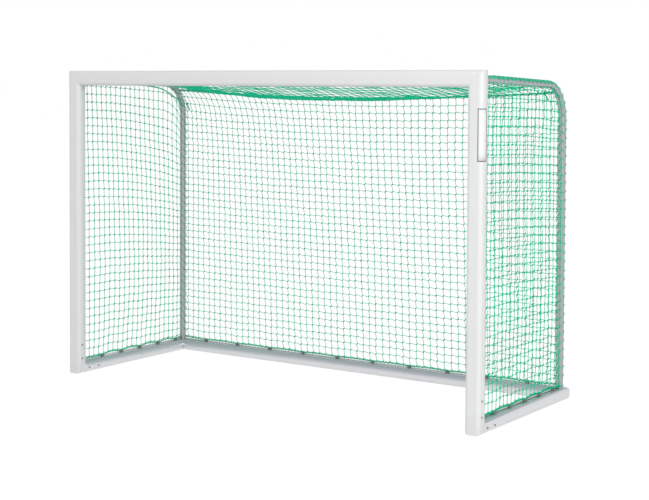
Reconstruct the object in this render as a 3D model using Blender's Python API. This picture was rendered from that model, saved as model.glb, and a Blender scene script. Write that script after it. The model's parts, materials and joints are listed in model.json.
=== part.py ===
"""Free-standing football goal: bolted profile frame, two net bows and a laced net.

Units are metres. +X is to the right seen from the pitch, +Y goes into the goal and
+Z is up. The origin is on the ground under the middle of the goal.
"""
import math

import bmesh
import bpy
from mathutils import Matrix, Vector

# Goal
CLEAR_WIDTH = 2.400
CLEAR_HEIGHT = 1.600
GROUND_DEPTH = 1.000

# Extruded profile, the same for posts, crossbar and ground frame
PROFILE_WIDTH = 0.080
PROFILE_DEPTH = 0.062
FRONT_RADIUS = 0.020
SHOULDER_WIDTH = 0.012
SHOULDER_DEPTH = 0.010
WALL = 0.003
SLOT_MOUTH = 0.012
SLOT_WIDTH = 0.026
SLOT_DEPTH = 0.010
LIP = 0.003
ROUND_STEPS = 6

# Fits
CLEARANCE = 0.0003
SPIGOT_CLEARANCE = 0.0008

# Elbow inside each lower front corner, and the screws that hold it from both sides
ELBOW_LEG = 0.210
ELBOW_WALL = 0.011
ELBOW_ROUND_STEPS = 3
SCREW_DIAMETER = 0.008
SCREW_LENGTH = 0.015
SCREW_HEAD = 0.0105
SCREW_HEAD_HEIGHT = 0.0020
SCREW_SOCKET = 0.005
SCREW_SOCKET_DEPTH = 0.0014
SCREW_SIDES = 12
SCREW_INSET = 0.025
SCREW_FIRST = 0.085
SCREW_PITCH = 0.075

# Net bow, a bent round tube on each side
BOW_DIAMETER = 0.036
BOW_WALL = 0.002
BOW_BEND_RADIUS = 0.180
BOW_FALL = 0.034
BOW_INSET = 0.005
BOW_SIDES = 16
BOW_BEND_STEPS = 10

# Spigots that carry the bow's two ends
SPIGOT_LENGTH = 0.050
SPIGOT_CHAMFER = 0.002
SPIGOT_NECK = 0.011
SPIGOT_FOOT = 0.022
SPIGOT_FOOT_THICKNESS = 0.0035
SPIGOT_SIDES = 12

# Net hooks
HOOK_LENGTH = 0.016
HOOK_FOOT_WIDTH = 0.022
HOOK_FOOT_THICKNESS = 0.0035
HOOK_NECK = 0.008
HOOK_BASE_WIDTH = 0.018
HOOK_BASE = 0.006
HOOK_ARM = 0.003
HOOK_ROOT = 0.001
HOOK_STEPS = 3
SIDE_HOOKS = 5
SIDE_HOOK_FIRST = 0.170
SIDE_HOOK_LAST = 0.110
REAR_HOOKS = 10
POST_HOOKS = 7
CORNER_HOOK_INSET = 0.180

# Ropes
ROPE_DIAMETER = 0.006
FRONT_SLACK = 0.009
GROUND_SLACK = 0.008
REAR_SLACK = 0.003
SEAM_ANGLE = math.radians(25.0)
ROPE_ROUND_STEPS = 6
ROPE_BEND_STEPS = 8
REAR_ROPE_SAG = 0.040

# Net, drawn with wide meshes
NET_BAR = 0.004
NET_CLEARANCE = 0.0008
ROOF_SAG = 0.078
BACK_BELLY = 0.012
SIDE_COLUMNS = 5
SIDE_CORNER = 0.75
NET_ROWS = 7
WIDE_COLUMNS = 10
ROOF_ROWS = 4
BEND_ROWS = 4
WRAP_ANGLE = math.radians(47.0)

# Levels and lines that follow from the sizes above
OUTER_WIDTH = CLEAR_WIDTH + 2.0 * PROFILE_WIDTH
OUTER_HEIGHT = CLEAR_HEIGHT + PROFILE_WIDTH
FRONT = -GROUND_DEPTH / 2.0
REAR = GROUND_DEPTH / 2.0
POST_X = (OUTER_WIDTH - PROFILE_WIDTH) / 2.0
BOW_X = POST_X - BOW_INSET
CROSSBAR_Z = OUTER_HEIGHT - PROFILE_WIDTH / 2.0
REAR_RAIL_Y = REAR - PROFILE_WIDTH / 2.0
POST_BACK_Y = FRONT + PROFILE_DEPTH
RAIL_TOP_Z = PROFILE_DEPTH
ROPE_RADIUS = ROPE_DIAMETER / 2.0
HOOK_BORE = ROPE_RADIUS + CLEARANCE
ROPE_STANDOFF = CLEARANCE + HOOK_BASE + HOOK_BORE
NET_ON_ROPE = ROPE_STANDOFF + ROPE_RADIUS + CLEARANCE + NET_BAR / 2.0
FRONT_STANDOFF = NET_ON_ROPE + FRONT_SLACK
GROUND_STANDOFF = NET_ON_ROPE + GROUND_SLACK
REAR_STANDOFF = NET_ON_ROPE + REAR_SLACK
BOW_RADIUS = BOW_DIAMETER / 2.0
ROPE_ON_BOW = BOW_RADIUS + ROPE_RADIUS + CLEARANCE
NET_ON_BOW = BOW_RADIUS + NET_BAR / 2.0 + NET_CLEARANCE
NET_OVER_BOW = NET_ON_BOW / math.cos(WRAP_ANGLE / 2.0)
ROPE_TO_NET = ROPE_RADIUS + NET_BAR / 2.0 + 2.0 * CLEARANCE

AXIS_X = Vector((1.0, 0.0, 0.0))
AXIS_Y = Vector((0.0, 1.0, 0.0))
AXIS_Z = Vector((0.0, 0.0, 1.0))


def clear_scene():
    for item in list(bpy.data.objects):
        bpy.data.objects.remove(item, do_unlink=True)


def make_material(name, colour, roughness, metallic=0.0):
    material = bpy.data.materials.new(name)
    material.use_nodes = True
    shader = material.node_tree.nodes["Principled BSDF"]
    shader.inputs["Base Color"].default_value = (*colour, 1.0)
    shader.inputs["Roughness"].default_value = roughness
    shader.inputs["Metallic"].default_value = metallic
    material.diffuse_color = (*colour, 1.0)
    return material


def place(name, data, material, matrix=None):
    if not data.materials:
        data.materials.append(material)
    item = bpy.data.objects.new(name, data)
    if matrix is not None:
        item.matrix_world = matrix
    bpy.context.collection.objects.link(item)
    return item


def finish_mesh(name, body, round_angle=math.radians(30.0)):
    bmesh.ops.recalc_face_normals(body, faces=body.faces)
    mesh = bpy.data.meshes.new(name)
    body.to_mesh(mesh)
    body.free()
    mesh.shade_smooth()
    mesh.set_sharp_from_angle(angle=round_angle)
    return mesh


def frame_matrix(origin, x_axis, y_axis, z_axis):
    turned_axes = Matrix((x_axis, y_axis, z_axis)).transposed().to_4x4()
    return Matrix.Translation(origin) @ turned_axes


# Outlines and bodies

def arc_points(centre, radius, start, end, steps):
    points = []
    for step in range(steps + 1):
        angle = start + (end - start) * step / steps
        points.append((centre[0] + radius * math.cos(angle), centre[1] + radius * math.sin(angle)))
    return points


def rounded_front(half_width, front, radius, steps=ROUND_STEPS):
    """The crown side of an outline, from its left flank round to its right one."""
    left = arc_points((-half_width + radius, front + radius), radius,
                      math.pi, 1.5 * math.pi, steps)
    right = arc_points((half_width - radius, front + radius), radius,
                       1.5 * math.pi, 2.0 * math.pi, steps)
    return left + right


def profile_outline():
    half = PROFILE_WIDTH / 2.0
    flank = PROFILE_DEPTH - SHOULDER_DEPTH
    mouth = SLOT_MOUTH / 2.0
    slot = SLOT_WIDTH / 2.0
    lip = PROFILE_DEPTH - LIP
    floor = lip - SLOT_DEPTH
    rear = [(half, flank), (half - SHOULDER_WIDTH, PROFILE_DEPTH), (mouth, PROFILE_DEPTH),
            (mouth, lip), (slot, lip), (slot, floor)]
    mirrored = [(-across, depth) for across, depth in reversed(rear)]
    return rounded_front(half, 0.0, FRONT_RADIUS) + rear + mirrored


def chamber_outline():
    half = PROFILE_WIDTH / 2.0
    slope = math.atan2(SHOULDER_DEPTH, SHOULDER_WIDTH)
    flank = PROFILE_DEPTH - SHOULDER_DEPTH - WALL * math.tan((math.pi / 2.0 - slope) / 2.0)
    shoulder = half - SHOULDER_WIDTH - WALL * math.tan(slope / 2.0)
    slot = SLOT_WIDTH / 2.0 + WALL
    rear = [(half - WALL, flank), (shoulder, PROFILE_DEPTH - WALL),
            (slot, PROFILE_DEPTH - WALL), (slot, chamber_floor())]
    mirrored = [(-across, depth) for across, depth in reversed(rear)]
    return rounded_front(half - WALL, WALL, FRONT_RADIUS - WALL) + rear + mirrored


def chamber_floor():
    return PROFILE_DEPTH - LIP - SLOT_DEPTH - WALL


def elbow_outline(inset):
    """The elbow's outline, or its bore's, at a distance inside the chamber."""
    half = PROFILE_WIDTH / 2.0 - WALL - inset
    rear = chamber_floor() - inset
    radius = max(FRONT_RADIUS - WALL - inset, WALL)
    front = rounded_front(half, WALL + inset, radius, ELBOW_ROUND_STEPS)
    return front + [(half, rear), (-half, rear)]


def circle_outline(radius, sides):
    return arc_points((0.0, 0.0), radius, 0.0, 2.0 * math.pi * (sides - 1) / sides, sides - 1)


def ring_edges(body, ring):
    return [body.edges.get((a, b)) or body.edges.new((a, b))
            for a, b in zip(ring, ring[1:] + ring[:1])]


def lofted_body(stations, outlines):
    """A body through the stations. The first outline is its skin, a second one its bore."""
    body = bmesh.new()
    end_edges = ([], [])
    for outline in outlines:
        rings = [[body.verts.new(station(*point)) for point in outline] for station in stations]
        for near, far in zip(rings, rings[1:]):
            for index in range(len(outline)):
                following = (index + 1) % len(outline)
                body.faces.new((near[index], near[following], far[following], far[index]))
        end_edges[0].extend(ring_edges(body, rings[0]))
        end_edges[1].extend(ring_edges(body, rings[-1]))
    for edges in end_edges:
        bmesh.ops.triangle_fill(body, use_beauty=True, edges=edges)
    return body


def cut_station(origin, across, depth, axis, plane_point, plane_normal):
    """A station where lines along the axis meet a plane, such as a mitre."""
    def station(along_width, along_depth):
        start = origin + across * along_width + depth * along_depth
        return start + axis * ((plane_point - start).dot(plane_normal) / axis.dot(plane_normal))
    return station


def square_station(origin, across, depth):
    def station(along_width, along_depth):
        return origin + across * along_width + depth * along_depth
    return station


def turned_body(outline, segments, socket_rings=()):
    """A turned body about Z from (radius, height) points that start and end on the axis.

    The rings listed as socket rings are hexagons, drawn through twelve points.
    """
    body = bmesh.new()
    rings = []
    for order, (radius, height) in enumerate(outline[1:-1], start=1):
        ring = []
        for segment in range(segments):
            angle = 2.0 * math.pi * segment / segments
            flat = math.cos(math.pi / 6.0) if order in socket_rings and segment % 2 else 1.0
            ring.append(body.verts.new((radius * flat * math.cos(angle),
                                        radius * flat * math.sin(angle), height)))
        rings.append(ring)
    for near, far in zip(rings, rings[1:]):
        for segment in range(segments):
            following = (segment + 1) % segments
            body.faces.new((near[segment], near[following], far[following], far[segment]))
    body.faces.new(rings[0])
    body.faces.new(rings[-1])
    return body


def prism_body(outline, length):
    """An outline in X and Y, drawn out along Z about its middle."""
    near = square_station(Vector((0.0, 0.0, -length / 2.0)), AXIS_X, AXIS_Y)
    far = square_station(Vector((0.0, 0.0, length / 2.0)), AXIS_X, AXIS_Y)
    return lofted_body([near, far], [outline])


def apply_boolean(item, cutter, operation):
    modifier = item.modifiers.new(operation.title(), "BOOLEAN")
    modifier.operation = operation
    modifier.object = cutter
    modifier.solver = "EXACT"


def hide_cutter(item):
    item.hide_render = True
    item.display_type = "WIRE"


# Mitre planes, each as a point and a normal

def top_mitre(side):
    return Vector((side * OUTER_WIDTH / 2.0, FRONT, OUTER_HEIGHT)), Vector((-side, 0.0, 1.0)).normalized()


def bottom_mitre():
    return Vector((0.0, FRONT, 0.0)), Vector((0.0, -1.0, 1.0)).normalized()


def rear_mitre(side):
    return Vector((side * OUTER_WIDTH / 2.0, REAR, 0.0)), Vector((-side, 1.0, 0.0)).normalized()


def shifted(plane, direction):
    """The plane moved half a clearance, so that mitred faces stay apart."""
    point, normal = plane
    return point + normal * (direction * CLEARANCE / 2.0), normal


# Frame members

def build_member(name, origin, across, depth, axis, start_plane, end_plane, material):
    stations = [cut_station(origin, across, depth, axis, *plane) for plane in (start_plane, end_plane)]
    body = lofted_body(stations, [profile_outline(), chamber_outline()])
    return place(name, finish_mesh(name, body), material)


def build_crossbar(material):
    origin = Vector((0.0, FRONT, CROSSBAR_Z))
    return build_member("crossbar", origin, AXIS_Z, AXIS_Y, AXIS_X,
                        shifted(top_mitre(-1), 1), shifted(top_mitre(1), 1), material)


def build_post(side_name, side, material):
    origin = Vector((side * POST_X, FRONT, 0.0))
    return build_member(f"{side_name}_post", origin, AXIS_X, AXIS_Y, AXIS_Z,
                        shifted(bottom_mitre(), 1), shifted(top_mitre(side), -1), material)


def build_side_rail(side_name, side, material):
    origin = Vector((side * POST_X, FRONT, 0.0))
    return build_member(f"{side_name}_ground_rail", origin, AXIS_X, AXIS_Z, AXIS_Y,
                        shifted(bottom_mitre(), -1), shifted(rear_mitre(side), -1), material)


def build_rear_rail(material):
    origin = Vector((0.0, REAR_RAIL_Y, 0.0))
    return build_member("rear_ground_rail", origin, AXIS_Y, AXIS_Z, AXIS_X,
                        shifted(rear_mitre(-1), 1), shifted(rear_mitre(1), 1), material)


def build_elbow(side_name, side, material):
    """A cast elbow that fills the lower corner's chambers and runs up both legs."""
    origin = Vector((side * POST_X, FRONT, 0.0))
    post_end = cut_station(origin, AXIS_X, AXIS_Y, AXIS_Z, origin + AXIS_Z * ELBOW_LEG, AXIS_Z)
    corner = cut_station(origin, AXIS_X, AXIS_Y, AXIS_Z, *bottom_mitre())
    rail_end = cut_station(origin, AXIS_X, AXIS_Z, AXIS_Y, origin + AXIS_Y * ELBOW_LEG, AXIS_Y)
    outlines = [elbow_outline(CLEARANCE), elbow_outline(ELBOW_WALL)]
    body = lofted_body([post_end, corner, rail_end], outlines)
    name = f"{side_name}_corner_elbow"
    return place(name, finish_mesh(name, body), material)


def screw_places(side):
    """The four spots of one side where a screw enters from the left and one from the right."""
    places = []
    for order in range(2):
        along = SCREW_FIRST + SCREW_PITCH * order
        places.append(Vector((side * POST_X, FRONT + SCREW_INSET, along)))
        places.append(Vector((side * POST_X, FRONT + along, SCREW_INSET)))
    return places


def screw_outline():
    """From the shank's tip to the socket's floor, with height 0 on the profile's side face."""
    tip = CLEARANCE + SCREW_HEAD_HEIGHT - SCREW_LENGTH
    top = CLEARANCE + SCREW_HEAD_HEIGHT
    shank = SCREW_DIAMETER / 2.0
    head = SCREW_HEAD / 2.0
    socket = SCREW_SOCKET / 2.0
    return [(0.0, tip), (shank, tip), (shank, CLEARANCE), (head, CLEARANCE), (head, top),
            (socket, top), (socket, top - SCREW_SOCKET_DEPTH), (0.0, top - SCREW_SOCKET_DEPTH)]


def build_screws(side_name, side, material):
    mesh = finish_mesh("corner_screw", turned_body(screw_outline(), SCREW_SIDES, (5, 6)))
    for facing_name, facing in (("outer", side), ("inner", -side)):
        outward = AXIS_X * facing
        for order, point in enumerate(screw_places(side), start=1):
            face = point + outward * (PROFILE_WIDTH / 2.0)
            matrix = frame_matrix(face, AXIS_Y, outward.cross(AXIS_Y), outward)
            place(f"{side_name}_{facing_name}_screw_{order}", mesh, material, matrix)


def drill_screw_holes(side, items):
    radius = SCREW_DIAMETER / 2.0 / math.cos(math.pi / SCREW_SIDES) + CLEARANCE
    body = bmesh.new()
    for point in screw_places(side):
        matrix = frame_matrix(point, AXIS_Y, AXIS_Z, AXIS_X)
        bmesh.ops.create_cone(body, cap_ends=True, segments=SCREW_SIDES, radius1=radius,
                              radius2=radius, depth=PROFILE_WIDTH * 1.2, matrix=matrix)
    mesh = finish_mesh("screw_holes", body)
    cutter = bpy.data.objects.new(mesh.name, mesh)
    bpy.context.collection.objects.link(cutter)
    hide_cutter(cutter)
    for item in items:
        apply_boolean(item, cutter, "DIFFERENCE")


# Bows

def bow_shape():
    """The bow's slope, bend angle, straight lengths and bend centre in the Y-Z plane."""
    slope = math.atan(BOW_FALL)
    bend = math.pi / 2.0 - slope
    tangent = BOW_BEND_RADIUS * math.tan(bend / 2.0)
    run = REAR_RAIL_Y - POST_BACK_Y
    corner_z = CROSSBAR_Z - BOW_FALL * run
    top_length = run / math.cos(slope) - tangent
    post_length = corner_z - tangent - RAIL_TOP_Z
    centre = Vector((0.0, REAR_RAIL_Y - BOW_BEND_RADIUS, corner_z - tangent))
    return slope, bend, top_length, post_length, centre


def bow_frame(distance):
    """Centre and outward normal of the bow at a distance from its front end."""
    slope, bend, top_length, post_length, centre = bow_shape()
    if distance <= top_length:
        along = Vector((0.0, math.cos(slope), -math.sin(slope)))
        normal = Vector((0.0, math.sin(slope), math.cos(slope)))
        return Vector((0.0, POST_BACK_Y, CROSSBAR_Z)) + along * distance, normal
    bent = (distance - top_length) / BOW_BEND_RADIUS
    if bent <= bend:
        angle = bend - bent
        normal = Vector((0.0, math.cos(angle), math.sin(angle)))
        return centre + normal * BOW_BEND_RADIUS, normal
    past = distance - top_length - bend * BOW_BEND_RADIUS
    return centre + AXIS_Y * BOW_BEND_RADIUS - AXIS_Z * past, AXIS_Y.copy()


def bow_distances():
    """Where the bend starts, its middle, where it ends and the whole length."""
    slope, bend, top_length, post_length, centre = bow_shape()
    bend_length = bend * BOW_BEND_RADIUS
    middle = top_length + bend_length / 2.0
    return top_length, middle, top_length + bend_length, top_length + bend_length + post_length


def beside_bow(side, distance, radius, angle):
    """A point round the bow: angle 0 is its outer side, 90 degrees its top or back."""
    centre, normal = bow_frame(distance)
    return centre + AXIS_X * (side * (BOW_X + radius * math.cos(angle))) + normal * (radius * math.sin(angle))


def bend_marks(steps):
    """Distances of the corners of a line that touches the bow's bend from outside."""
    bend_start, _, bend_end, _ = bow_distances()
    return [bend_start + (bend_end - bend_start) * (step + 0.5) / steps for step in range(steps)]


def corner_on_bend(side, distance, radius, angle, steps):
    """A corner of such a line, moved outward until its two chords clear the bend."""
    slope, bend, top_length, post_length, centre = bow_shape()
    _, normal = bow_frame(distance)
    reach = BOW_BEND_RADIUS + radius * math.sin(angle)
    lift = reach * (1.0 / math.cos(bend / steps / 2.0) - 1.0)
    return beside_bow(side, distance, radius, angle) + normal * lift


def build_bow(side_name, side, material):
    bend_start, _, bend_end, length = bow_distances()
    shift = AXIS_X * (side * BOW_X)
    stations = []
    front, front_normal = bow_frame(0.0)
    front_axis = front_normal.cross(AXIS_X)
    stations.append(cut_station(front + shift, AXIS_X, front_normal, front_axis,
                                front + AXIS_Y * CLEARANCE, AXIS_Y))
    for step in range(BOW_BEND_STEPS + 1):
        centre, normal = bow_frame(bend_start + (bend_end - bend_start) * step / BOW_BEND_STEPS)
        stations.append(square_station(centre + shift, AXIS_X, normal))
    foot, foot_normal = bow_frame(length - CLEARANCE)
    stations.append(square_station(foot + shift, AXIS_X, foot_normal))
    outlines = [circle_outline(BOW_RADIUS, BOW_SIDES), circle_outline(BOW_RADIUS - BOW_WALL, BOW_SIDES)]
    name = f"{side_name}_net_bow"
    mesh = finish_mesh(name, lofted_body(stations, outlines))
    return place(name, mesh, material)


def spigot_outline():
    """From the foot in the slot, through the mouth, to the plug inside the bow."""
    under_lip = -LIP - SPIGOT_CLEARANCE
    body = (BOW_RADIUS - BOW_WALL) * math.cos(math.pi / BOW_SIDES) - CLEARANCE
    foot = SPIGOT_FOOT / 2.0
    neck = SPIGOT_NECK / 2.0
    return [(0.0, under_lip - SPIGOT_FOOT_THICKNESS), (foot, under_lip - SPIGOT_FOOT_THICKNESS),
            (foot, under_lip), (neck, under_lip), (neck, SPIGOT_CLEARANCE), (body, SPIGOT_CLEARANCE),
            (body, SPIGOT_LENGTH - SPIGOT_CHAMFER), (body - SPIGOT_CHAMFER, SPIGOT_LENGTH),
            (0.0, SPIGOT_LENGTH)]


def build_spigots(side_name, side, material):
    mesh = finish_mesh("bow_spigot", turned_body(spigot_outline(), SPIGOT_SIDES))
    front, normal = bow_frame(0.0)
    along = AXIS_X.cross(normal) * -1.0
    top = frame_matrix(front + AXIS_X * (side * BOW_X), AXIS_X, normal * -1.0, along)
    place(f"{side_name}_bow_top_spigot", mesh, material, top)
    corner = Vector((side * BOW_X, REAR_RAIL_Y, RAIL_TOP_Z))
    place(f"{side_name}_bow_foot_spigot", mesh, material, Matrix.Translation(corner))


# Net hooks, each with its slot along local Z and its open side towards local X

def hook_arm_outline():
    bore = arc_points((0.0, ROPE_STANDOFF), HOOK_BORE, math.pi, 0.0, HOOK_STEPS)
    back = arc_points((0.0, ROPE_STANDOFF), HOOK_BORE + HOOK_ARM, 0.0, math.pi, HOOK_STEPS)
    base = CLEARANCE + HOOK_BASE
    return [(-HOOK_BORE, base)] + bore + back + [(-HOOK_BORE - HOOK_ARM, base)]


def clip_hook_outline():
    half = HOOK_BASE_WIDTH / 2.0
    neck = HOOK_NECK / 2.0
    foot = HOOK_FOOT_WIDTH / 2.0
    base = CLEARANCE + HOOK_BASE
    under_lip = -LIP - CLEARANCE
    sole = under_lip - HOOK_FOOT_THICKNESS
    before = [(-foot, sole), (foot, sole), (foot, under_lip), (neck, under_lip),
              (neck, CLEARANCE), (half, CLEARANCE), (half, base)]
    after = [(-half, base), (-half, CLEARANCE), (-neck, CLEARANCE), (-neck, under_lip),
             (-foot, under_lip)]
    return before + hook_arm_outline() + after


def fixed_hook_outline():
    half = HOOK_BASE_WIDTH / 2.0
    base = CLEARANCE + HOOK_BASE
    before = [(-half, -HOOK_ROOT), (half, -HOOK_ROOT), (half, base)]
    return before + hook_arm_outline() + [(-half, base)]


def spread(first, last, count):
    return [first + (last - first) * order / (count - 1) for order in range(count)]


def side_hook_places():
    last = REAR_RAIL_Y - SIDE_HOOK_LAST + PROFILE_WIDTH / 2.0
    return spread(POST_BACK_Y + SIDE_HOOK_FIRST, last, SIDE_HOOKS)


def rear_hook_places():
    reach = POST_X - CORNER_HOOK_INSET
    return spread(-reach, reach, REAR_HOOKS)


def post_hook_places():
    return spread(RAIL_TOP_Z + CORNER_HOOK_INSET, CROSSBAR_Z - CORNER_HOOK_INSET, POST_HOOKS)


def build_ground_hooks(material):
    mesh = finish_mesh("net_hook", prism_body(clip_hook_outline(), HOOK_LENGTH))
    for side_name, side in (("left", -1), ("right", 1)):
        inward = AXIS_X * -side
        for order, along in enumerate(side_hook_places(), start=1):
            point = Vector((side * POST_X, along, RAIL_TOP_Z))
            matrix = frame_matrix(point, inward, AXIS_Z, inward.cross(AXIS_Z))
            place(f"{side_name}_net_hook_{order}", mesh, material, matrix)
    inward = AXIS_Y * -1.0
    for order, along in enumerate(rear_hook_places(), start=1):
        matrix = frame_matrix(Vector((along, REAR_RAIL_Y, RAIL_TOP_Z)), inward, AXIS_Z, inward.cross(AXIS_Z))
        place(f"rear_net_hook_{order}", mesh, material, matrix)


def fuse_front_hooks(item, places, inward, point_at):
    """The hooks on a member of the front frame, joined to it because they are many."""
    outline = fixed_hook_outline()
    body = bmesh.new()
    for along in places:
        matrix = frame_matrix(point_at(along), inward, AXIS_Y, inward.cross(AXIS_Y))
        hook = prism_body(outline, HOOK_LENGTH)
        hook.transform(matrix)
        scratch = bpy.data.meshes.new("hook")
        hook.to_mesh(scratch)
        hook.free()
        body.from_mesh(scratch)
        bpy.data.meshes.remove(scratch)
    mesh = finish_mesh(f"{item.name}_hooks", body)
    hooks = bpy.data.objects.new(mesh.name, mesh)
    bpy.context.collection.objects.link(hooks)
    hide_cutter(hooks)
    apply_boolean(item, hooks, "UNION")


# Ropes

def build_rope(name, points, material):
    curve = bpy.data.curves.new(name, "CURVE")
    curve.dimensions = "3D"
    curve.bevel_depth = ROPE_RADIUS
    curve.bevel_resolution = 1
    curve.use_fill_caps = True
    spline = curve.splines.new("POLY")
    spline.points.add(len(points) - 1)
    for spot, point in zip(spline.points, points):
        spot.co = (*point, 1.0)
    return place(name, curve, material)


def laced_run(places, point_at, pull, slack):
    """A rope that runs straight through each hook and is pulled out between two hooks."""
    half_hook = HOOK_LENGTH / 2.0 + ROPE_RADIUS
    turn = half_hook if places[-1] > places[0] else -half_hook
    points = []
    for order, along in enumerate(places):
        if order:
            middle = (places[order - 1] + along) / 2.0
            points.append(point_at(middle) + pull * slack)
        points.append(point_at(along - turn))
        points.append(point_at(along + turn))
    return points


def rope_round_foot(side):
    """Round the outer and rear side of the bow's foot, from the side rail to the rear one."""
    centre = Vector((side * BOW_X, REAR_RAIL_Y, RAIL_TOP_Z + ROPE_STANDOFF))
    reach = ROPE_ON_BOW / math.cos(math.pi / 4.0 / ROPE_ROUND_STEPS)
    points = []
    for step in range(ROPE_ROUND_STEPS + 1):
        angle = math.radians(-30.0) + math.radians(150.0) * step / ROPE_ROUND_STEPS
        points.append(centre + AXIS_X * (side * reach * math.cos(angle)) + AXIS_Y * (reach * math.sin(angle)))
    return points


def ground_rope_points():
    level = RAIL_TOP_Z + ROPE_STANDOFF
    start = POST_BACK_Y + CLEARANCE
    left = [Vector((-POST_X, start, level))]
    left += laced_run(side_hook_places(), lambda along: Vector((-POST_X, along, level)),
                      AXIS_Z, GROUND_SLACK)
    left += rope_round_foot(-1)
    rear = laced_run(rear_hook_places(), lambda along: Vector((along, REAR_RAIL_Y, level)),
                     AXIS_Z, REAR_SLACK)
    right = [Vector((-point.x, point.y, point.z)) for point in reversed(left)]
    return left + rear + right


def front_rope_points():
    """Up the left post, inside the bow's end, along the crossbar and down the right post."""
    back = POST_BACK_Y + ROPE_STANDOFF
    foot = RAIL_TOP_Z + ROPE_STANDOFF + ROPE_RADIUS + CLEARANCE * 2.0
    corner = ROPE_ON_BOW * math.sqrt(2.0) + BOW_INSET
    left = [Vector((-POST_X, back, foot))]
    left += laced_run(post_hook_places(), lambda along: Vector((-POST_X, back, along)),
                      AXIS_Y, FRONT_SLACK)
    left.append(Vector((-POST_X, back, CROSSBAR_Z - corner)))
    top = [Vector((corner - POST_X, back, CROSSBAR_Z))]
    top += laced_run(rear_hook_places(), lambda along: Vector((along, back, CROSSBAR_Z)),
                     AXIS_Y, FRONT_SLACK)
    top.append(Vector((POST_X - corner, back, CROSSBAR_Z)))
    right = [Vector((-point.x, point.y, point.z)) for point in reversed(left)]
    return left + top + right


def seam_points(side):
    """Along the bow, from the post's back over the bend and down to the ground rope."""
    bend_start, _, bend_end, length = bow_distances()
    foot = length - ROPE_STANDOFF - ROPE_RADIUS - CLEARANCE * 2.0
    top = [beside_bow(side, distance, ROPE_ON_BOW, SEAM_ANGLE)
           for distance in spread(CLEARANCE * 3.0, bend_start, 5)[:-1]]
    bend = [corner_on_bend(side, distance, ROPE_ON_BOW, SEAM_ANGLE, ROPE_BEND_STEPS)
            for distance in bend_marks(ROPE_BEND_STEPS)]
    post = [beside_bow(side, distance, ROPE_ON_BOW, SEAM_ANGLE)
            for distance in spread(bend_end, foot, 8)[1:]]
    return top + bend + post


def rear_rope_point(across):
    """The rope between roof and back, which sags between the tops of the two bows."""
    _, middle, _, _ = bow_distances()
    centre, normal = bow_frame(middle)
    part = across / BOW_X
    sag = REAR_ROPE_SAG * max(0.0, 1.0 - part * part)
    return centre + normal * ROPE_ON_BOW + AXIS_X * across - AXIS_Z * sag


def rear_rope_points():
    """Each end goes over its bow and down to the seam rope."""
    _, middle, _, _ = bow_distances()
    quarter = math.pi / 2.0
    end_angle = SEAM_ANGLE + (ROPE_RADIUS + CLEARANCE) / ROPE_ON_BOW
    lift = ROPE_ON_BOW / math.cos((quarter - end_angle) / 4.0)
    angles = (end_angle, (end_angle + quarter) / 2.0, quarter)
    left = [beside_bow(-1, middle, lift, angle) for angle in angles]
    right = [beside_bow(1, middle, lift, angle) for angle in reversed(angles)]
    return left + [rear_rope_point(across) for across in spread(-BOW_X, BOW_X, 17)[1:-1]] + right


def build_ropes(material):
    build_rope("ground_rope", ground_rope_points(), material)
    build_rope("front_rope", front_rope_points(), material)
    build_rope("rear_rope", rear_rope_points(), material)
    for side_name, side in (("left", -1), ("right", 1)):
        build_rope(f"{side_name}_seam_rope", seam_points(side), material)


# Net panels

def blend(first, last, part):
    return first + (last - first) * part


def patch_point(low, high, first, last, across, along):
    """A point between two border curves, pulled so that its row runs from first to last."""
    first_pull = first - blend(low(0.0), high(0.0), along)
    last_pull = last - blend(low(1.0), high(1.0), along)
    return blend(low(across), high(across), along) + blend(first_pull, last_pull, across)


def net_mesh(name, cells):
    """A mesh from cells of points, where points closer than a weld distance are shared."""
    body = bmesh.new()
    known = {}
    for cell in cells:
        corners = []
        for point in cell:
            key = tuple(round(value, 6) for value in point)
            if key not in known:
                known[key] = body.verts.new(point)
            corners.append(known[key])
        body.faces.new(corners)
    bmesh.ops.recalc_face_normals(body, faces=body.faces)
    mesh = bpy.data.meshes.new(name)
    body.to_mesh(mesh)
    body.free()
    return mesh


def build_net(name, cells, material):
    item = place(name, net_mesh(name, cells), material)
    wires = item.modifiers.new("Twine", "WIREFRAME")
    wires.thickness = NET_BAR
    wires.offset = 0.0
    wires.use_boundary = True
    wires.use_replace = True
    wires.use_even_offset = False
    return item


def between(first, last):
    """Distances along the bow strictly between two others where the tube is bent."""
    bend_start, _, bend_end, _ = bow_distances()
    low, high = min(first, last), max(first, last)
    marks = spread(bend_start, bend_end, ROPE_BEND_STEPS + 1)
    inside = [mark for mark in marks if low + 0.5 * NET_BAR < mark < high - 0.5 * NET_BAR]
    return inside if last > first else list(reversed(inside))


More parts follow.
